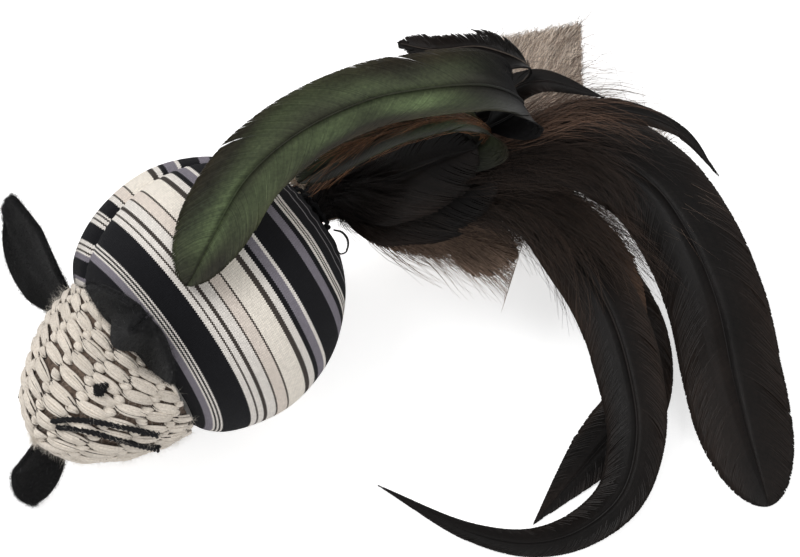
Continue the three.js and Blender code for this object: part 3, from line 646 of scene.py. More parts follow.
ahead = SNOUT_LENGTH * np.sin(np.linspace(0, math.pi / 2, 40))
outer = np.stack([-SEAM_AHEAD - ahead, np.maximum(snout_radius(ahead) - 0.0010, 0)], 1)
outer[:, 0] += 0.0010 * np.sin(np.linspace(0, math.pi / 2, 40))
ahead = (SNOUT_LENGTH - 0.0026) * np.sin(np.linspace(0, math.pi / 2, 24))
inner = np.stack([-SEAM_AHEAD - ahead, np.maximum(snout_radius(ahead) - 0.0030, 0)], 1)
marl_mesh = turned(
    np.concatenate([outer[::-1], inner]), 180,
    lambda along, turn: 0.0002 * np.sin(60 * turn + 900 * along) * np.sin(1500 * along),
)
marl_material = spun_material("marled_ground", (0.35, 0.33, 0.32), (1.3, 1.25, 1.2), 900, bump=0.8)
snout = shown("snout_marl", marl_mesh, marl_material, "mouse", "chunky_knit",
              (118, 104, 94), "snout_cover")

rng = np.random.default_rng(11)
STACK = np.array([-0.0014, -0.00435])
CHAIN = np.array([-0.0096, 0.0028])
i, j = np.meshgrid(np.arange(-30, 31), np.arange(-12, 13), indexing="ij")
roots = i.reshape(-1, 1) * STACK + j.reshape(-1, 1) * CHAIN
roots = roots + np.array([0.0, 0.026])


def inside_knit(start, along, margin=0.0):
    """Whether a stitch's two ends lie on the flat cone: inside its sector and short of the seam."""
    ends = np.stack([start, start + along], 1)
    reach = np.hypot(ends[..., 0], ends[..., 1])
    angle = np.abs(np.arctan2(ends[..., 0], ends[..., 1]))
    limit = CONE_SHARE * math.pi
    return ((angle < limit) & (reach < flat_reach[0] - margin) & (reach > 0.0008)).all(1)


def stitches(start, along, width, plies, thick, low, high, seed):
    """Leaf-shaped stitches of plied yarn on the flat knit: each ply runs from start to start +
    along, offset across by its share x sin(pi s) x width, and crowns from low to high; the leaf
    turns a little round its own line, so that its plies read as twisted."""
    draw = np.random.default_rng(seed)
    count = len(start)
    s = np.linspace(0, 1, STITCH_STATIONS)[None, None, :]
    share = (np.arange(plies) - (plies - 1) / 2) / max((plies - 1) / 2, 1)
    share = share[None, :, None] + draw.normal(0, 0.06, (count, plies, 1))
    long = np.linalg.norm(along, axis=-1)[:, None, None]
    ahead_dir = unit(along)
    across_dir = np.stack([-ahead_dir[:, 1], ahead_dir[:, 0]], -1)
    body = np.sin(math.pi * s) ** 0.5
    offset = width * (share * body + 0.16 * np.sin(2 * math.pi * s + 0.6))
    lift = low + (high - low) * np.sin(math.pi * s) ** 0.6
    lift = lift - 0.35 * width * (share * body) ** 2 + draw.normal(0, 0.00006, (count, plies, 1))
    lead = s * long + draw.normal(0, 0.0002, (count, plies, 1))
    x, y = (
        start[:, k, None, None] + lead * ahead_dir[:, k, None, None]
        + offset * across_dir[:, k, None, None] for k in (0, 1)
    )
    centres = on_snout(x, y, lift)
    above = on_snout(x, y, lift + 0.0005)
    centres, above = (places.reshape(-1, STITCH_STATIONS, 3) for places in (centres, above))
    normals = unit(above - centres)
    forward = unit(np.gradient(centres, axis=1))
    sides = unit(np.cross(normals, forward))
    size = thick * draw.uniform(0.85, 1.15, (len(centres), 1)) * (0.45 + 0.55 * body[0])
    points, quads = strands(centres, sides, normals, size, size)
    light = draw.uniform(0.90, 1.04, (count, 1, 1)) * draw.uniform(0.93, 1.03, (count, plies, 1))
    # Painted shade: each stitch darkens towards both ends, where it dips under its neighbours; the draws
    # above give it a random tone.
    light = light * (0.80 + 0.20 * body)
    light = np.repeat(light.reshape(-1, STITCH_STATIONS)[..., None], 4, axis=-1).reshape(-1, 1)
    return centres, normals, points, quads, light


leaf = CHAIN * 1.14 + STACK * 0.20
roots = roots - 0.07 * CHAIN - 0.10 * STACK
keep = inside_knit(roots, np.broadcast_to(leaf, roots.shape), -0.0045)
starts = roots[keep] + rng.normal(0, 0.0003, (keep.sum(), 2))
leaves = np.broadcast_to(leaf, starts.shape) + rng.normal(0, 0.0003, starts.shape)
big = stitches(starts, leaves, 0.00130, 5, 0.00054, -0.0010, 0.00090, 21)
marl = stitches(starts, leaves, 0.00182, 2, 0.00040, -0.0006, 0.0006, 23)
nested = roots - 0.12 * CHAIN + 0.52 * STACK
short = CHAIN * 0.40 + STACK * 0.10
keep = inside_knit(nested, np.broadcast_to(short, roots.shape), -0.002)
small = stitches(nested[keep] + rng.normal(0, 0.0002, (keep.sum(), 2)),
                 np.broadcast_to(short, roots.shape)[keep], 0.00080, 4, 0.00044, -0.0009, 0.0006, 22)
cream, marl_brown = linear(238, 230, 219), linear(62, 53, 48)
wool_material = spun_material("cream_wool", (0.80, 0.78, 0.76), (1.06, 1.05, 1.04), 1500, bump=0.5)
for name, made, tone in (("snout_stitches", big, cream), ("snout_half_stitches", small, cream),
                         ("snout_marl_yarn", marl, marl_brown)):
    # Each piece's colour carries the stitches' random tone and the painted shade at their ends.
    stitch = piece(name, made[2], made[3], wool_material, "mouse", "chunky_knit")
    tinted(stitch, tone * made[4])


def fibres(roots, outward, length, seed, spread=0.7):
    """Loose hairs: each leaves its root along outward turned at random, and curls to one side with
    the square of its run. Widths fall to a point."""
    draw = np.random.default_rng(seed)
    ahead = unit(outward + spread * draw.normal(0, 1, roots.shape))
    aside = unit(np.cross(ahead, draw.normal(0, 1, roots.shape)))
    long = length * draw.uniform(0.4, 1.0, (len(roots), 1, 1))
    s = np.linspace(0, 1, HAIR_STATIONS)[None, :, None]
    centres = roots[:, None] + long * (s * ahead[:, None] + 0.6 * s**2 * aside[:, None])
    sides, normals = frames(centres, np.array([0.31, 0.17, 0.93]))
    taper = HAIR_WIDTH * (1 - 0.85 * s[..., 0])
    return strands(centres, sides, normals, taper, taper * 0.7)


draw = np.random.default_rng(31)
pick = draw.integers(0, len(big[0]), 5200), draw.integers(2, 11, 5200)
fuzz = fibres(big[0][pick] + big[1][pick] * 0.0004, big[1][pick], 0.0030, 32)
shown("snout_fuzz", fuzz, wool_material, "mouse", "chunky_knit", (236, 230, 220))

# Eyes: a dot of black floss on each cheek, satin stitched through the knit and a little fuzzy.
def eye_floss(name, node, turn, seed):
    """Floss laid side by side over a small dome: strand k crosses it at its own offset, and rises
    by the dome's height x root of (1 - square of its distance from the middle)."""
    draw = np.random.default_rng(seed)
    from_seam, size, rise = 0.0165, 0.0027, 0.0013
    base = on_mouse(-SEAM_AHEAD - from_seam, snout_radius(from_seam) + 0.0005, turn)
    step = 0.001
    beyond = on_mouse(-SEAM_AHEAD - from_seam - step, snout_radius(from_seam + step) + 0.0005, turn)
    forward = unit(beyond - base)
    aside = unit(on_mouse(-SEAM_AHEAD - from_seam, snout_radius(from_seam), turn + 0.02) - base)
    aside = unit(aside - forward * (aside @ forward))
    out = unit(np.cross(aside, forward))
    if out @ unit(on_mouse(0, 1, turn) - np.array(BALL_CENTRE)) < 0:
        out = -out
    layers = []
    for layer, lean in enumerate((0.35, -0.5)):
        offset = np.linspace(-0.92, 0.92, 11)[:, None] + draw.normal(0, 0.03, (11, 1))
        reach = np.sqrt(1 - offset**2) * (1 + draw.normal(0, 0.05, (11, 1)))
        s = np.linspace(-1, 1, 9)[None]
        run = reach * s
        high = rise * np.sqrt(np.maximum(1.05 - offset**2 - run**2, 0)) + layer * 0.0002 - 0.0003
        c, d = math.cos(lean), math.sin(lean)
        x, y = size * (c * offset - d * run), size * (d * offset + c * run)
        layers.append(base + x[..., None] * forward + y[..., None] * aside + high[..., None] * out)
    centres = np.concatenate(layers)
    sides, normals = frames(centres, out)
    floss = strands(centres, sides, normals, 0.00030, 0.00026)
    root = centres[draw.integers(0, len(centres), 260), draw.integers(0, 9, 260)]
    hair = fibres(root, np.broadcast_to(out, root.shape), 0.0012, seed + 1, spread=1.2)
    shown(name, joined([floss, hair]), yarn_black, "mouse", "black_yarn", (26, 26, 27), node)


eye_floss("near_eye_floss", "near_eye", TOP_ROLL - math.radians(60), 41)
eye_floss("far_eye_floss", "far_eye", TOP_ROLL + math.radians(60), 43)

# Ears: two pieces of thick black wool felt, stitched into the snout's seam so that each stands up
# as a cup. The near one is folded down its middle into two hollows; the cut edges are hairy.
felt_material = spun_material("black_felt", (0.3, 0.3, 0.31), (1.2, 1.18, 1.16), 1100,
                              sheen=0.04, bump=0.9)
FELT_WALL = 0.0022
NAP_LENGTH = 0.0017
PALE_HAIR = 14.0  # added to the tone of one hair in fifty
EAR_LENGTH, EAR_BASE, EAR_OPENS, EAR_STEPS = 0.035, 0.022, 0.016, 12


def felt_slab(name, node, body, centre, normal, thick, hollow=0.0):
    """A closed slab: the middle surface +- half a wall along its normal, joined round the edge. Its
    tone falls by the hollow share towards the middle of either half as painted shade in the hollows,
    and rises at the rim as painted light."""
    rows, columns = centre.shape[:2]
    offset = normal * thick[..., None]
    points, quads = closed_slab(centre + offset, centre - offset)
    a, b, c, d = (points[quads[:, k]] for k in range(4))
    if (a * (np.cross(b, c) + np.cross(c, d))).sum() < 0:
        quads = quads[:, ::-1]
    made = piece(name, points, quads, felt_material, body, "black_felt")
    down, across = np.meshgrid(np.linspace(0, 1, rows), np.linspace(0, 1, columns), indexing="ij")
    # Painted shade: the tone darkens towards the middle of each half, where the hollows lie; painted
    # light: it rises along the rim.
    painted_hollow_shade = np.sin(2 * math.pi * across) ** 2 * np.sin(math.pi * down**0.7)
    rim = np.clip(1 - np.minimum(np.minimum(across, 1 - across), 1 - down) * 14, 0, 1)
    tone = np.tile((1 - hollow * painted_hollow_shade + 1.2 * hollow * rim).ravel(), 2)[:, None]
    tinted(made, linear(22, 22, 23) * tone)
    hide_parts(node)
    return made


def felt_nap(name, body, centre, normal, seed, count=11000, rim_count=4200):
    """Short hairs that stand off both faces of a felt piece, and longer ones along its cut edge."""
    rows, columns = centre.shape[:2]
    draw = np.random.default_rng(seed)
    pick = draw.integers(1, rows, count), draw.integers(0, columns, count)
    sign = draw.choice([-1.0, 1.0], count)[:, None]
    kind = draw.integers(0, 3, rim_count)
    tip_u = rows - 1 - draw.integers(0, 2, rim_count)
    rim_u = np.where(kind == 0, tip_u, draw.integers(4, rows, rim_count))
    side_v = np.where(kind == 1, 0, columns - 1)
    rim_v = np.where(kind == 0, draw.integers(0, columns, rim_count), side_v)
    outward = unit(centre[rim_u, rim_v] - centre[rows // 2, columns // 2])
    roots = np.concatenate([centre[pick] + normal[pick] * sign * 0.00095, centre[rim_u, rim_v]])
    ways = np.concatenate([normal[pick] * sign, outward])
    points, faces = fibres(roots, ways, NAP_LENGTH, seed + 1, spread=1.1)
    hairs = piece(name, points, faces, felt_material, body, "black_felt")
    tone = draw.choice([0.7, 1.0, 1.6, 3.2], len(roots))
    tone = tone + PALE_HAIR * (draw.random(len(roots)) < 0.02)
    tinted(hairs, linear(30, 30, 31) * np.repeat(tone, 4 * HAIR_STATIONS)[:, None])


def felt_ear(name, node, body, turn, curl, lean, twist, cup_depth, fold_depth, hollow, seed):
    """A petal on u from base to tip and v across: it curls by an angle that grows with u and leans
    towards the near side, its width is twisted, its edges come forward by the square of the
    distance across, and the fold between the two hollows by a bell of v."""
    rows, columns = 60, 72
    u, v = np.meshgrid(np.linspace(0, 1, rows), np.linspace(0, 1, columns), indexing="ij")
    foot = SEAM_RADIUS + 0.0003

    def middle(u, v):
        opened = np.sin(math.pi / 2 * np.minimum(2 * u, 1))
        tip = np.sqrt(np.maximum(1 - np.maximum(2 * u - 1, 0) ** 2.2, 0))
        across = (v - 0.5) * np.maximum((EAR_BASE + EAR_OPENS * opened) * tip, FELT_WALL)
        out = ahead = aside = 0
        step = u * EAR_LENGTH / EAR_STEPS
        for k in range(EAR_STEPS):
            share = u * (k + 0.5) / EAR_STEPS
            pitch = math.radians(curl[0]) + math.radians(curl[1] - curl[0]) * share
            tilt = math.radians(lean) * share
            ahead = ahead + step * np.sin(pitch)
            out = out + step * np.cos(pitch) * np.cos(tilt)
            aside = aside + step * np.cos(pitch) * np.sin(tilt)
        wrap = foot * (1 - np.cos(across / foot)) * (1 - u)
        cup = cup_depth * (2 * across / (EAR_BASE + EAR_OPENS)) ** 2 * u
        fold = fold_depth * np.exp(-((v - 0.5) / 0.13) ** 2) * np.minimum(u / 0.33, 1)
        ripple = 0.0004 * np.sin(9 * v + 5 * u) * u
        turned_by = math.radians(twist) * np.minimum(2 * u, 1)
        front = ahead + cup + fold + across * np.sin(turned_by)
        along = -SEAM_AHEAD - 0.0003 - FELT_WALL / 2 - front + ripple
        reach, near = foot + out - wrap, across * np.cos(turned_by) + aside
        return on_mouse(along, np.hypot(reach, near), turn - np.arctan2(near, reach))

    small = 0.004
    centre = middle(u, v)
    u0, v0 = np.minimum(u, 1 - small), np.minimum(v, 1 - small)
    to_tip, to_side = middle(u0 + small, v) - middle(u0, v), middle(u, v0 + small) - middle(u, v0)
    normal = unit(np.cross(to_tip, to_side))
    edge = np.clip(np.minimum(np.minimum(v, 1 - v) * 22, (1 - u) * 22), 0, 1)
    thick = FELT_WALL / 2 * np.sqrt(np.clip(1 - (1 - edge) ** 2, 0.10, 1))
    felt_nap(name + "_nap", body, centre, normal, seed)
    return felt_slab(name, node, body, centre, normal, thick, hollow)


# The number before each seed sets how much painted shade falls in the hollows and how much painted light
# falls on the rim.
near_ear = felt_ear("near_ear_felt", "near_ear", "near_ear", TOP_ROLL - math.radians(48.5),
                    (1, -10), 13, 0, 0.003, 0.006, 0.8, 51)
far_ear = felt_ear("far_ear_felt", "far_ear", "far_ear", TOP_ROLL + math.radians(55),
                   (3, -11), 64, -17.5, 0.002, 0.0005, 0.25, 53)

# Nose flap: a petal of the same felt, stitched under the tip of the nose. It hangs forward and
# down, and twists a little at its neck.
FLAP_AHEAD = unit(np.array([-0.4509, -0.2895, -0.8443]))
FLAP_LEVEL = unit(np.cross([0, 0, 1.0], FLAP_AHEAD))
FLAP_LENGTH, FLAP_FROM_SEAM = 0.025, 0.0337
u, v = np.meshgrid(np.linspace(0, 1, 48), np.linspace(0, 1, 44), indexing="ij")
opened = np.sin(math.pi / 2 * np.minimum(u / 0.55, 1))
flap_width = (0.0065 + 0.013 * opened) * np.sqrt(np.maximum(1 - u**3, 0))
across = (v - 0.5) * np.maximum(flap_width, FELT_WALL)
facing = (np.radians(-46.4 - 30 * np.maximum(1 - u / 0.45, 0)))[..., None]
flap_way = np.cos(facing) * FLAP_LEVEL + np.sin(facing) * np.cross(FLAP_AHEAD, FLAP_LEVEL)
flap_face = np.cross(FLAP_AHEAD, flap_way)
flap_root = on_mouse(-SEAM_AHEAD - FLAP_FROM_SEAM, snout_radius(FLAP_FROM_SEAM) + 0.0018,
                     math.radians(163))
flap_middle = flap_root + FLAP_LENGTH * u[..., None] * FLAP_AHEAD + across[..., None] * flap_way
flap_middle = flap_middle + (0.0005 * np.sin(6 * u + 4 * v) * u)[..., None] * flap_face
edge = np.clip(np.minimum(np.minimum(v, 1 - v) * 16, (1 - u) * 20), 0, 1)
flap_thick = FELT_WALL / 2 * np.sqrt(np.clip(1 - (1 - edge) ** 2, 0.10, 1))
nose_flap = felt_slab("nose_flap_felt", "nose_flap", "nose_flap", flap_middle, flap_face, flap_thick)
felt_nap("nose_flap_nap", "nose_flap", flap_middle, flap_face, 62, 4500, 2200)

# Tail gather: black thread runs in and out of the cover's edge and is drawn tight. One end is left
# hanging in a small loop.
ring_turn = np.linspace(0, 2 * math.pi, 181)
rim_along = math.sqrt(BALL_RADIUS**2 - TAIL_HOLE**2)
gather_line = on_mouse(
    rim_along + 0.00095 + 0.0003 * np.cos(14 * ring_turn), 0.0078 + 0.0004 * np.sin(14 * ring_turn),
    ring_turn,
)
gather = plied(gather_line, 0.00062, 3, 46, 420)[1]
shown("gather_thread", gather, yarn_black, "mouse", "black_yarn", (24, 24, 25), "gather_stitch")

loop_from = np.array(BALL_CENTRE) + to_tail * (rim_along + 0.0022)
loop_share = np.array([
    [-0.04, -0.8, -0.12], [0.12, -0.9, -0.4], [0.16, -1.02, -0.85],
    [0.02, -1.06, -1.25], [-0.1, -0.98, -1.3], [-0.12, -0.88, -1.1],
])
loop_points = loop_from + 0.012 * (
    loop_share[:, :1] * to_tail + loop_share[:, 1:2] * to_far + loop_share[:, 2:] * to_top
)
loop_path, _ = smooth_path(loop_points, 60)
second = loop_path + np.linspace(0, 1, 60)[:, None] * (0.0009 * to_tail + 0.0006 * to_far)
loop = joined([plied(path, 0.00028, 2, 14, 90)[1] for path in (loop_path, second[:46])])
shown("loose_end", loop, yarn_black, "mouse", "black_yarn", (18, 18, 19), "loose_thread")

# Quill binding: waxed black thread wound tightly round the quills' ends in two layers, which seats
# in the filling and turns there a little.
PIVOT = np.array([0.0366597, 0, 0.0437073])


def on_tail(along, ring, turn):
    """Pivot + along x nose-to-tail + ring x (cos turn x top + sin turn x far side)."""
    return on_mouse(along, ring, turn) - np.array(BALL_CENTRE) + PIVOT


core_profile = np.array([
    [-0.0052, 0], [-0.0050, 0.0015], [-0.0040, 0.0034], [-0.0022, 0.0046], [0, 0.0050],
    [0.0099, 0.0050], [0.0100, 0.0047], [0.0013, 0.0047], [0.0012, 0.0040], [0.0012, 0],
])
core_points, core_faces = turned(core_profile, 48)
core_points = core_points - np.array(BALL_CENTRE) + PIVOT
shown("binding_core", (core_points, core_faces), yarn_black, "tail", "black_yarn", (20, 20, 21))
wound = np.linspace(0, 1, 1500)
tubes = []
for lay, (first, last, turns, radius) in enumerate((
    (-0.0004, 0.0097, 19, 0.0052), (0.0090, 0.0003, 12.4, 0.0054),
)):
    wander = 0.00018 * np.sin(wound * 47 + lay)
    path = on_tail(first + (last - first) * wound + wander, radius + 0.00005 * np.sin(wound * 90),
                   wound * turns * 2 * math.pi + lay)
    tubes.append(plied(path, 0.00026, 2, 150, 1500)[1])
shown("binding_thread", joined(tubes), yarn_black, "tail", "black_yarn", (22, 22, 23), "quill_binding")


# Feathers: dyed cock feathers, each a tapering quill with a vane of barbs on either side that zip
# together, split apart in places and turn to down near the root. Their quills fill the binding.
def plume_material(name, roughness, specular, streak):
    """Barbs: the tint, streaked finely along the object, with a soft gloss of its own."""
    material, surface, node, wire = shader(name, roughness, specular)
    place = node("TexCoord", {}).outputs["Object"]
    fine = node("TexNoise", {"Vector": place, "Scale": 900.0, "Detail": 3.0})
    broad = node("TexNoise", {"Vector": place, "Scale": 60.0, "Detail": 2.0})
    tint = node("Attribute", {}, attribute_name="tint")
    sum_of = node("Math", {0: fine.outputs["Fac"], 1: broad.outputs["Fac"]}, operation="ADD")
    shade = node("MapRange", {"Value": sum_of.outputs[0], "From Min": 0.7, "From Max": 1.3,
                              "To Min": 1 - streak, "To Max": 1 + streak})
    grey = node("CombineXYZ", {key: shade.outputs[0] for key in "XYZ"}).outputs[0]
    wire(surface, {"Base Color": multiply_colours(node, grey, tint.outputs["Color"])})
    gloss = node("MapRange", {"Value": broad.outputs["Fac"], "To Min": roughness - 0.08,
                              "To Max": roughness + 0.12})
    wire(surface, {"Roughness": gloss.outputs[0]})
    return material


PLUMES = {
    "black": plume_material("black_plume", 0.40, 0.22, 0.35),
    "green": plume_material("green_plume", 0.45, 0.22, 0.4),
    "brown": plume_material("brown_plume", 0.5, 0.25, 0.4),
}
QUILL_SEATS = (0.0015, 0.006, 0.0112)  # along the binding's bore, from the pivot
QUILL_STATIONS = 401
BARB_LEAN = 1.25  # how far a barb's end lies past its root, over its reach


def slow_noise(draw, *values):
    """A smooth random value between about -1 and 1: a sum of sines of each value at random rates."""
    total = 0
    for _ in range(5):
        total = total + np.sin(sum(v * draw.uniform(0.5, 1.6) for v in values) + draw.uniform(0, 6.28))
    return total / 3


def plume_line(length, ring, turn, route, steps, lies):
    """The quill's line at even stations with a side and a normal at each: the side stays level,
    or for a curled feather is carried along the line in a number of steps."""
    seats = [on_tail(a, ring, np.radians(turn)) for a in QUILL_SEATS]
    points = np.array(seats + [PIVOT + np.array(share) * length for share in route])
    if lies:
        points[:, 2] = np.maximum(points[:, 2], 0.00085)
    line, run = smooth_path(points, QUILL_STATIONS)
    along = unit(np.gradient(line, axis=0))
    side = unit(np.cross([0, 0, 1.0], along))
    if steps:
        last = QUILL_STATIONS - 1
        ways = unit(look_up(along, np.linspace(0, last, steps + 1) / last))
        carried = [side[0]]
        for way in ways[1:]:
            carried.append(unit(carried[-1] - way * (carried[-1] @ way)))
        side = look_up(np.array(carried), np.linspace(0, 1, QUILL_STATIONS))
        side = unit(side - along * (side * along).sum(1, keepdims=True))
    return line, run, along, side, np.cross(along, side)


def look_up(table, share):
    """Rows of a table at even shares of its length, by straight interpolation."""
    at = np.clip(share, 0, 1) * (len(table) - 1)
    low = np.minimum(at.astype(int), len(table) - 2)
    part = (at - low)[..., None]
    return table[low] * (1 - part) + table[low + 1] * part


def feather(name, node, length, width, ring, turn, vane, route, tints, seed, steps=0, lies=False,
            pointed=False, tip_power=2.0, split=0.05, ragged=0.02, pitch=0.00028, down=None,
            quill_tint=None, roll=(0, 1), halves=(1.0, 1.0)):
    """One feather, whose name starts with its kind. A barb leaves the quill at u0 and ends at u1 on
    the vane's edge, at a distance Y: y = Y (1 - (1 - s)^1.3), u = u0 + (u1 - u0) s^1.4. It is drawn
    to its lock's middle by the lock's pull x s^2, cambered by the square of s and lifted by its
    lock; a short barb ends at s < 1. The ends stand evenly along the edge. Down is (count, first,
    last, length, spread, rise, colour, share on the + side) of loose barbs. Roll turns the vane
    about the quill past the share u given with it, and halves scale its - and + sides."""
    draw = np.random.default_rng(seed)
    line, run, along, side, normal = plume_line(length, ring, turn, route, steps, lies)
    rolling = np.clip((np.linspace(0, 1, QUILL_STATIONS) - roll[1]) / 0.12, 0, 1)
    rolled = math.radians(roll[0]) * rolling[:, None]
    side, normal = (np.cos(rolled) * side + np.sin(rolled) * normal,
                    np.cos(rolled) * normal - np.sin(rolled) * side)
    start, full, close = vane
    parts, colours = [], []

    def vane_half(u):
        opened = np.clip((u - start) / (full - start), 0, 1)
        shut = np.clip((u - close) / (1 - close), 0, 1)
        tip = 1 - shut**1.2 if pointed else (1 - shut**tip_power) ** (1 / tip_power)
        return width / 2 * opened * opened * (3 - 2 * opened) * tip

    def beside_quill(u, y, lift):
        return look_up(line, u) + look_up(side, u) * y[..., None] + look_up(normal, u) * lift[..., None]

    def add(centres, sides, normals, widths, heights, tone):
        parts.append(strands(centres, sides, normals, widths, heights))
        colours.append(np.repeat(tone.reshape(-1, 3), 4, axis=0))

    s = np.linspace(0, 1, 7)
    edge_u = start + (1 - start) * np.linspace(0, 1, 3000)
    edge_run = np.cumsum(np.hypot(np.gradient(edge_u * run), np.gradient(vane_half(edge_u))))
    count = int(edge_run[-1] / pitch)
    tip_u = np.interp(np.linspace(0.002, 0.9995, count) * edge_run[-1], edge_run, edge_u)
    for sign in (-1, 1):
        cuts = np.sort(draw.uniform(start, 1, draw.integers(9, 15)))
        lock = np.searchsorted(cuts, tip_u)
        locks = len(cuts) + 1
        middle_u = np.bincount(lock, tip_u, locks) / np.maximum(np.bincount(lock, minlength=locks), 1)
        pull = (split * draw.random(locks) ** 3)[lock]
        long = draw.uniform(1 - 2 * ragged, 1 + ragged, locks)[lock]
        long = long * (1 - ragged * draw.exponential(0.5, count))
        rise = draw.normal(0, 0.00022, locks)[lock] + draw.normal(0, 0.00005, count)
        reach = vane_half(tip_u) * halves[(sign + 1) // 2]
        root_u = tip_u - BARB_LEAN * reach / run
        part = s * np.minimum(long, 1)[:, None]
        u = root_u[:, None] + (tip_u - root_u)[:, None] * part**1.4
        u = u + (middle_u[lock] - tip_u)[:, None] * (pull[:, None] * s**2)
        y = sign * reach[:, None] * (1 - (1 - part) ** 1.3)
        fade = 1 - np.clip((u - close + 0.25) / 0.25, 0, 1) if lies else 1
        lift = rise[:, None] * s**2 + 0.0001 - 0.14 * vane_half(u) * s**2 * fade
        centres = beside_quill(u, y, lift)
        if lies:
            clear = 0.00022 + 0.0002 * draw.random((count, 1))
            centres[..., 2] = np.maximum(centres[..., 2], clear)
        ahead = unit(np.gradient(centres, axis=1))
        sides = unit(np.cross(look_up(normal, u), ahead))
        tilt = math.radians(12) * sign
        tilted = math.cos(tilt) * sides + math.sin(tilt) * np.cross(ahead, sides)
        taper = (1 - 0.2 * s**2) * np.where(s == 1, 0.5, 1)
        colour = tints(np.clip(u, 0, 1), y / (width / 2), draw)
        streak = 1 + 0.13 * draw.normal(0, 1, (count, 1, 1))
        streak = streak + 0.05 * draw.normal(0, 1, (locks, 1))[lock][:, None]
        add(centres, tilted, np.cross(ahead, tilted), taper[None] * pitch * 1.15, 0.00005,
            colour * np.clip(streak, 0.4, 1.8))
    share = np.linspace(0, 0.992, 101)
    thick = 0.00068 * (1 - share) ** 1.1 + 0.00010
    quill_line = look_up(line, share)[None]
    if lies:
        quill_line[..., 2] = np.maximum(quill_line[..., 2], thick + 0.0002)
    sides, normals, ways = (look_up(table, share)[None] for table in (side, normal, along))
    diagonal = unit(sides + normals)
    if quill_tint:
        tone = np.tile(linear(*quill_tint), (len(share), 1))
    else:
        tone = tints(share[None], np.zeros((1, len(share))), draw)
    add(quill_line, sides, normals, thick[None], thick[None], tone)
    add(quill_line, diagonal, np.cross(ways, diagonal), thick[None], thick[None], tone)
    if down:
        count, first, last, long, spread, high, colour, upper = down
        s = np.linspace(0, 1, 8)
        reach = long * draw.uniform(0.45, 1.0, (count, 1))
        u = draw.uniform(first, last, (count, 1)) + reach * s / run
        sign = np.where(draw.random((count, 1)) < upper, 1.0, -1.0)
        swung = spread * draw.uniform(0.1, 1.0, (count, 1)) * s**0.8
        y = sign * reach * (swung + 0.05 * np.sin(5 * s + 6 * draw.random((count, 1))))
        lift = high * draw.uniform(-0.3, 1.0, (count, 1)) * np.sin(math.pi * 0.7 * s)
        centres = beside_quill(u, y, lift)
        centres[..., 2] = np.maximum(centres[..., 2], 0.0004)
        sides, normals = frames(centres, np.array([0.03, 0.02, 1.0]))
        taper = 0.00009 * (1 - 0.75 * s**1.5)
        tone = linear(*colour) * draw.uniform(0.35, 1.5, (count, 1, 1))
        add(centres, sides, normals, taper, taper * 0.6, tone * np.linspace(0.7, 1.4, 8)[None, :, None])
    kind = name.split("_")[0]
    made = piece(name, *joined(parts), PLUMES[kind], "tail", kind + "_feather")
    tinted(made, np.concatenate(colours))
    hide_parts(node)


def black_tints(brown, root):
    """Near black, browner towards the edge and the root by the given shares."""
    def tint(u, across, draw):
        warm = np.clip(brown * np.abs(across) ** 2 + root * np.clip(1 - 2.2 * u, 0, 1)
                       + 0.12 * slow_noise(draw, 9 * u, 2 * across), 0, 1)[..., None]
        return linear(17, 14, 13) * (1 - warm) + linear(62, 46, 36) * warm
    return tint


def green_tints(patches):
    """Dark olive green with lit green patches of painted iridescent sheen, each (middle u, middle
    across, reach in u, reach across, share); olive brown at the edges and black towards the root."""
    def tint(u, across, draw):
        # Painted sheen: the lit green patches, over a faint random tone, mix the olive towards the lit
        # green.
        sheen_and_tone = 0.06 + 0.16 * slow_noise(draw, 16 * u, 3.5 * across)
        for middle, aside, long, wide, share in patches:
            sheen_and_tone = sheen_and_tone + share * np.exp(-((u - middle) / long) ** 2 - ((across - aside) / wide) ** 2)
        sheen_and_tone = np.clip(sheen_and_tone * (1 + 0.3 * slow_noise(draw, 30 * u, 7 * across)), 0, 1)[..., None]
        olive = (np.abs(across) - 0.68) * 2.8 + 0.2 * slow_noise(draw, 11 * u, across)
        olive = np.clip(olive, 0, 1)[..., None]
        dark = np.clip((0.50 - u) * 9, 0, 1)[..., None]
        shaft = np.exp(-(across / 0.05) ** 2)[..., None]
        colour = linear(38, 37, 27) * (1 - sheen_and_tone) + linear(104, 122, 82) * sheen_and_tone
        colour = colour * (1 - 0.7 * olive) + linear(46, 38, 26) * 0.7 * olive
        colour = colour * (1 - 0.6 * shaft) + linear(28, 27, 20) * 0.6 * shaft
        return colour * (1 - dark) + linear(21, 20, 21) * dark
    return tint


def brown_tints(u, across, draw):
    """Dark brown with rusty edges."""
    rust = 0.25 + 0.5 * np.abs(across) + 0.3 * slow_noise(draw, 12 * u, 2 * across)
    rust = np.clip(rust, 0, 1)[..., None]
    return linear(30, 23, 20) * (1 - rust) + linear(84, 62, 47) * rust


OUTER_RING, INNER_RING = 0.00365, 0.00155
feather("black_plume_upper", "black_feather_upper", 0.067, 0.030,
        OUTER_RING, -45, (0.3, 0.52, 0.65),
        [(0.389, -0.243, 0.295), (0.59, -0.32, 0.31), (0.73, -0.38, 0.305)],
        black_tints(0.15, 0.0), 101, tip_power=2.2, ragged=0.08, split=0.1,
        down=(1700, 0.0, 0.36, 0.020, 0.85, 0.007, (28, 23, 21), 0.55))
feather("green_plume_long", "green_feather_long", 0.210, 0.027,
        OUTER_RING, 0, (0.27, 0.4, 0.88),
        [(0.138, -0.05, 0.063), (0.245, -0.086, 0.064), (0.32, -0.12, 0.118),
         (0.282, -0.088, 0.182), (0.178, -0.027, 0.209), (0.121, -0.003, 0.216),
         (0.023, 0.019, 0.218), (-0.08, 0.015, 0.216), (-0.176, -0.019, 0.204),
         (-0.245, -0.047, 0.19)],
        green_tints([(0.555, -0.4, 0.06, 0.35, 0.9), (0.62, 0.35, 0.05, 0.25, 0.35),
                     (0.69, -0.5, 0.05, 0.3, 0.4), (0.90, 0.1, 0.06, 0.5, 0.7)]),
        103, steps=30, split=0.02,
        down=(300, 0.03, 0.2, 0.020, 0.5, 0.003, (34, 28, 25), 0.5))
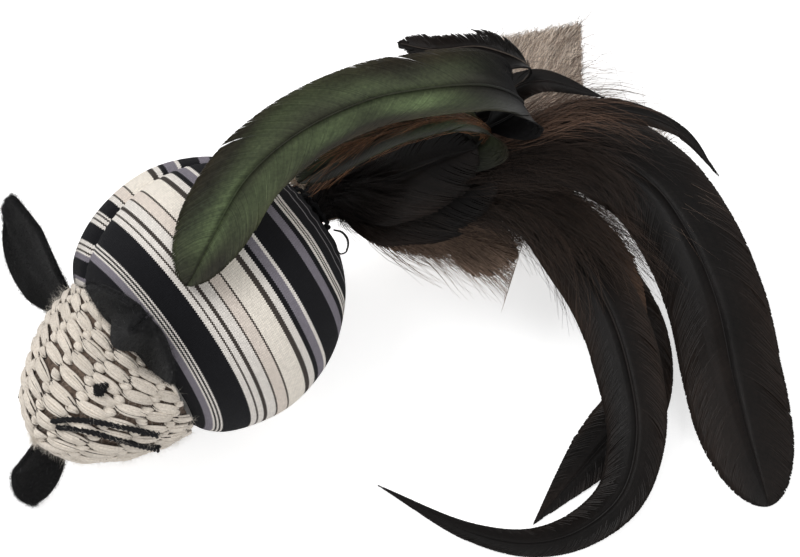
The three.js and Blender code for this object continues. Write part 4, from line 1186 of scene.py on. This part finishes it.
feather("green_plume_short", "green_feather_short", 0.140, 0.020,
        INNER_RING, 45, (0.3, 0.5, 0.85),
        [(0.2, -0.096, 0.091), (0.31, -0.15, 0.096), (0.39, -0.168, 0.15),
         (0.345, -0.125, 0.215), (0.226, -0.072, 0.249), (0.106, -0.045, 0.263),
         (-0.035, -0.044, 0.284)],
        green_tints([(0.62, -0.2, 0.08, 0.6, 0.9), (0.85, 0.2, 0.08, 0.5, 0.25)]), 105, steps=30,
        split=0.04, pitch=0.00022, down=(700, 0.45, 0.85, 0.026, 0.3, 0.004, (128, 92, 66), 0.5))
feather("black_plume_curled", "curled_black_feather", 0.125, 0.024,
        OUTER_RING, 45, (0.6, 0.8, 0.9),
        [(0.245, -0.06, 0.105), (0.475, -0.1, 0.105), (0.633, -0.124, 0.144), (0.576, -0.022, 0.19),
         (0.468, 0.048, 0.214), (0.414, 0.113, 0.224)],
        black_tints(0.3, 0.0), 107, steps=24, ragged=0.22, split=0.3, quill_tint=(74, 66, 60),
        roll=(-65, 0.62), halves=(0.8, 0.42))
feather("black_plume_small", "small_pointed_feather", 0.108, 0.010,
        OUTER_RING, 90, (0.45, 0.68, 0.75),
        [(0.289, -0.097, 0.091), (0.529, -0.118, 0.095), (0.634, -0.125, 0.109),
         (0.733, -0.18, 0.156), (0.835, -0.339, 0.156)],
        black_tints(0.1, 0.0), 109, pointed=True, split=0.05)
feather("black_plume_thin", "thin_feather", 0.141, 0.008,
        INNER_RING, -45, (0.42, 0.6, 0.7),
        [(0.249, -0.107, 0.075), (0.467, -0.182, 0.073), (0.623, -0.262, 0.091),
         (0.726, -0.403, 0.062), (0.733, -0.524, 0.02)],
        black_tints(0.4, 0.0), 111, pointed=True, split=0.1,
        down=(260, 0.30, 0.55, 0.050, 0.22, 0.004, (84, 64, 52), 0.5))
feather("black_plume_lower", "black_feather_lower", 0.062, 0.030,
        OUTER_RING, -90, (0.22, 0.48, 0.62),
        [(0.388, -0.3, 0.134), (0.602, -0.423, 0.142), (0.826, -0.534, 0.142)],
        black_tints(0.15, 0.0), 113, tip_power=2.2, ragged=0.08, split=0.1,
        down=(1500, 0.0, 0.42, 0.022, 0.75, 0.006, (30, 25, 22), 0.45))
feather("black_plume_wide", "wide_feather", 0.221, 0.031,
        INNER_RING, 135, (0.20, 0.45, 0.84),
        [(0.154, -0.073, 0.026), (0.283, -0.132, 0.029), (0.371, -0.197, 0.008),
         (0.408, -0.268, -0.033), (0.411, -0.337, -0.078), (0.386, -0.427, -0.123),
         (0.334, -0.521, -0.155), (0.295, -0.596, -0.176), (0.255, -0.683, -0.2)],
        black_tints(0.25, 0.4), 115, lies=True, split=0.04,
        down=(2000, 0.12, 0.34, 0.050, 0.36, 0.005, (44, 35, 30), 0.25))
feather("black_plume_sickle", "sickle_feather", 0.249, 0.021,
        INNER_RING, -135, (0.16, 0.38, 0.5),
        [(0.103, -0.067, 0.011), (0.17, -0.119, 0.011), (0.213, -0.18, -0.005),
         (0.226, -0.247, -0.029), (0.219, -0.319, -0.061), (0.19, -0.392, -0.101),
         (0.153, -0.445, -0.133), (0.096, -0.48, -0.158), (0.032, -0.477, -0.175),
         (-0.024, -0.45, -0.175), (-0.069, -0.391, -0.175), (-0.112, -0.272, -0.175)],
        black_tints(0.35, 0.35), 117, lies=True, pointed=True, split=0.04,
        down=(900, 0.08, 0.26, 0.050, 0.30, 0.005, (42, 34, 29), 0.65))
feather("brown_plume_middle", "middle_feather", 0.131, 0.013,
        OUTER_RING, -135, (0.35, 0.6, 0.75),
        [(0.198, -0.125, -0.002), (0.334, -0.214, -0.005), (0.434, -0.343, -0.032),
         (0.473, -0.507, -0.093), (0.434, -0.742, -0.192)],
        brown_tints, 119, pointed=True, split=0.3, ragged=0.08, halves=(0.9, 1.7),
        down=(2600, 0.14, 0.52, 0.050, 0.38, 0.006, (56, 44, 37), 0.78))
feather("black_plume_under", "under_feather", 0.195, 0.020,
        OUTER_RING, 135, (0.3, 0.55, 0.8),
        [(0.13, -0.072, -0.016), (0.232, -0.159, -0.027), (0.305, -0.261, -0.057),
         (0.322, -0.384, -0.126), (0.292, -0.47, -0.175), (0.235, -0.517, -0.205),
         (0.153, -0.528, -0.23), (-0.006, -0.555, -0.23)],
        black_tints(0.4, 0.4), 121, lies=True, pointed=True, split=0.04,
        down=(160, 0.14, 0.3, 0.03, 0.3, 0.003, (60, 46, 38), 0.5))
feather("brown_plume_fringe", "brown_fringe_feather", 0.069, 0.026,
        OUTER_RING, 180, (0.15, 0.5, 0.7),
        [(0.346, -0.273, -0.097), (0.512, -0.479, -0.133), (0.658, -0.708, -0.177)],
        brown_tints, 123, ragged=0.2, split=0.5,
        down=(1500, 0.15, 0.8, 0.034, 0.6, 0.002, (126, 106, 92), 0.5))

# Patch of fur: rabbit skin cut with straight edges, its soft underfur laid one way with longer
# dark-tipped guard hairs through it. A narrow neck of the skin is caught under the binding.
FUR_LENGTH = 0.113
SKIN_HALF = 0.0006
skin_marks = np.array([0, 0.2, 0.62, 1])
skin_far = FUR_LENGTH * np.array([[0.0673, 0.0354], [0.24, 0.06], [0.695, 0.162], [1, -0.012]])
skin_near = FUR_LENGTH * np.array([[0.0673, -0.0354], [0.24, -0.12], [0.53, -0.325], [0.914, -0.44]])
NOTCH_DEPTH, NOTCH_AT = 0.0121, 0.63
notch_point = skin_near[3] * (1 - NOTCH_AT) + skin_far[3] * NOTCH_AT - [NOTCH_DEPTH, 0]


def skin_place(u, v, height):
    """A point of the skin at share u along and v across, between its near and far edges, which run
    straight from mark to mark, with a notch cut into its end; it drops by a smooth step to lie
    below the feathers."""
    far = np.stack([np.interp(u, skin_marks, skin_far[:, k]) for k in (0, 1)], -1)
    near = np.stack([np.interp(u, skin_marks, skin_near[:, k]) for k in (0, 1)], -1)
    flat = near * (1 - v[..., None]) + far * v[..., None]
    flat[..., 0] -= NOTCH_DEPTH * u**3 * np.interp(v, [0, NOTCH_AT, 1], [0, 1, 0])
    ease = np.clip(u / 0.28, 0, 1)
    fall = ease * ease * (3 - 2 * ease)
    top = 0.0076 * math.sin(NOSE_DROOP) - 0.00565 / math.cos(NOSE_DROOP) - 0.0003
    low = (top - 0.0008) * (1 - fall) - 0.0195 * fall
    return np.concatenate([flat, (low + height)[..., None]], -1) + PIVOT


fur_material = spun_material("rabbit_fur", (0.85, 0.85, 0.85), (1.35, 1.35, 1.35), 1800,
                             roughness=0.65, specular=0.3, sheen=0.05, bump=0.2)
u, v = np.meshgrid(np.linspace(0, 1, 60), np.linspace(0, 1, 30), indexing="ij")
skin_middle = skin_place(u, v, 0.0006 * np.sin(7 * u) * np.sin(5 * v))
skin_mesh = closed_slab(skin_middle + [0, 0, SKIN_HALF], skin_middle - [0, 0, SKIN_HALF])
skin = piece("fur_skin", *skin_mesh, fur_material, "tail", "fur")
shade = np.tile(np.clip((0.35 - v) / 0.2, 0, 1).ravel(), 2)[:, None]
tinted(skin, linear(205, 190, 172) * (1 - shade) + linear(104, 88, 76) * shade)
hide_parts("fur_patch")


def room_ahead(roots, lay):
    """How far each hair can run before it crosses the skin's far edge or both of its end edges:
    for an edge from a to b, the cross product of a - root and b - a over that of lay and b - a."""
    runs = []
    for a, b in ((skin_far[2], skin_far[3]), (skin_far[3], notch_point), (notch_point, skin_near[3])):
        edge, gap = b - a, a - (roots[:, :2] - PIVOT[:2])
        turn = lay[:, 0] * edge[1] - lay[:, 1] * edge[0]
        run = (gap[:, 0] * edge[1] - gap[:, 1] * edge[0]) / np.where(np.abs(turn) < 1e-6, 1e-6, turn)
        runs.append(np.where(run < -0.0005, 1.0, np.maximum(run, 0)))
    end = np.where(np.minimum(runs[1], runs[2]) < 1, np.maximum(runs[1] % 1.0, runs[2] % 1.0), 1.0)
    return np.minimum(runs[0], end)


def laid_hair(name, centres, up, width, fall, tone):
    """Hairs of the fur along rows of centres, each narrowing to its tip by the fall."""
    sides, normals = frames(centres, up)
    taper = width * (1 - fall * np.linspace(0, 1, centres.shape[1]) ** 1.5)
    made = piece(name, *strands(centres, sides, normals, taper, taper * 0.6), fur_material, "tail", "fur")
    tinted(made, np.repeat(np.broadcast_to(tone, centres.shape).reshape(-1, 3), 4, axis=0))


def pile(name, count, length, width, seed, colour, tip, tip_from, spread, rise, past, ahead=12):
    """Laid hair: roots strewn over the skin, every hair bending from upright into the lay, which
    turns by ahead in degrees, and cut where it would run past the skin's edge."""
    draw = np.random.default_rng(seed)
    u, v = draw.uniform(0.08, 1, count) ** 0.75, draw.uniform(0, 1, count)
    roots = skin_place(u, v, SKIN_HALF)
    angle = math.radians(ahead) + spread * draw.normal(0, 1, count)
    angle = angle + 0.35 * (v - 0.4) + 0.10 * np.sin(17 * u + 9 * v)
    lay = np.stack([np.cos(angle), np.sin(angle), 0 * angle], -1)
    room = room_ahead(roots, lay)
    long = length * draw.uniform(0.55, 1.15, count)
    near_side = np.clip(1 - v / 0.3, 0, 1)
    past = past + 0.010 * near_side
    cut = room + np.minimum(past * draw.random(count) ** 2, 0.0150 / np.maximum(lay[:, 0], 0.1))
    at_edge = np.clip(1 - (cut - long) / 0.004, 0, 1)[:, None, None]
    long = np.minimum(long, cut)[:, None, None]
    s = np.linspace(0, 1, 5)[None, :, None]
    up = rise * draw.uniform(0.3, 1.0, (count, 1, 1))
    wave = 0.0006 * np.sin(7 * s + draw.uniform(0, 6.28, (count, 1, 1)))
    across = np.stack([-lay[:, 1], lay[:, 0], lay[:, 2]], -1)
    centres = roots[:, None] + long * s * lay[:, None] * 0.97 + wave * across[:, None]
    centres = centres + up * np.sin(math.pi / 2 * np.minimum(s * 1.6, 1)) * np.array([0, 0, 1.0])
    tone = linear(*colour) * draw.uniform(0.6, 1.15, (count, 1, 1))
    tone = tone * (1 - 0.6 * near_side)[:, None, None]
    dark = np.clip((s - tip_from) / (1 - tip_from), 0, 1) ** 0.7
    dark = np.clip(dark * (0.4 + 1.2 * at_edge), 0, 1)
    shade = tone * (1 - dark) + linear(*tip) * dark * draw.uniform(0.5, 1.5, (count, 1, 1))
    laid_hair(name, centres, np.array([0.05, 0.02, 1.0]), width, 0.8, shade)


pile("underfur", 7000, 0.014, 0.00011, 201, (248, 234, 220), (222, 204, 188), 0.6,
     0.20, 0.0036, 0.0015)
pile("underfur_top", 7000, 0.017, 0.00009, 203, (240, 225, 210), (150, 128, 110), 0.75,
     0.18, 0.0052, 0.002)
pile("guard_hair", 1900, 0.022, 0.00007, 205, (190, 170, 154), (50, 39, 32), 0.45,
     0.16, 0.0060, 0.004)
pile("long_guard_hair", 420, 0.042, 0.000055, 207, (150, 128, 112), (60, 46, 38), 0.35,
     0.55, 0.0060, 0.019, ahead=-8)
pile("stray_guard_hair", 420, 0.048, 0.00006, 209, (150, 128, 112), (60, 46, 38), 0.35,
     0.30, 0.0070, 0.040, ahead=-48)

# The hair of the skin's neck, pressed up between the binding and the cover on the far side.
draw = np.random.default_rng(211)
count = 1400
s = np.linspace(0, 1, 6)
reach = draw.uniform(0.0030, 0.0068, (count, 1))
neck_along = draw.uniform(0.0073, 0.0100, (count, 1)) - 0.45 * reach * s**2
neck_turn = np.radians(draw.uniform(60, 125, (count, 1))) + 0.12 * draw.normal(0, 1, (count, 1)) * s
centres = on_tail(neck_along, 0.0060 + 1.1 * reach * s, neck_turn)
tone = linear(214, 198, 178) * draw.uniform(0.6, 1.15, (count, 1, 1))
laid_hair("neck_hair", centres, to_tail, 0.00009, 0.7, tone)
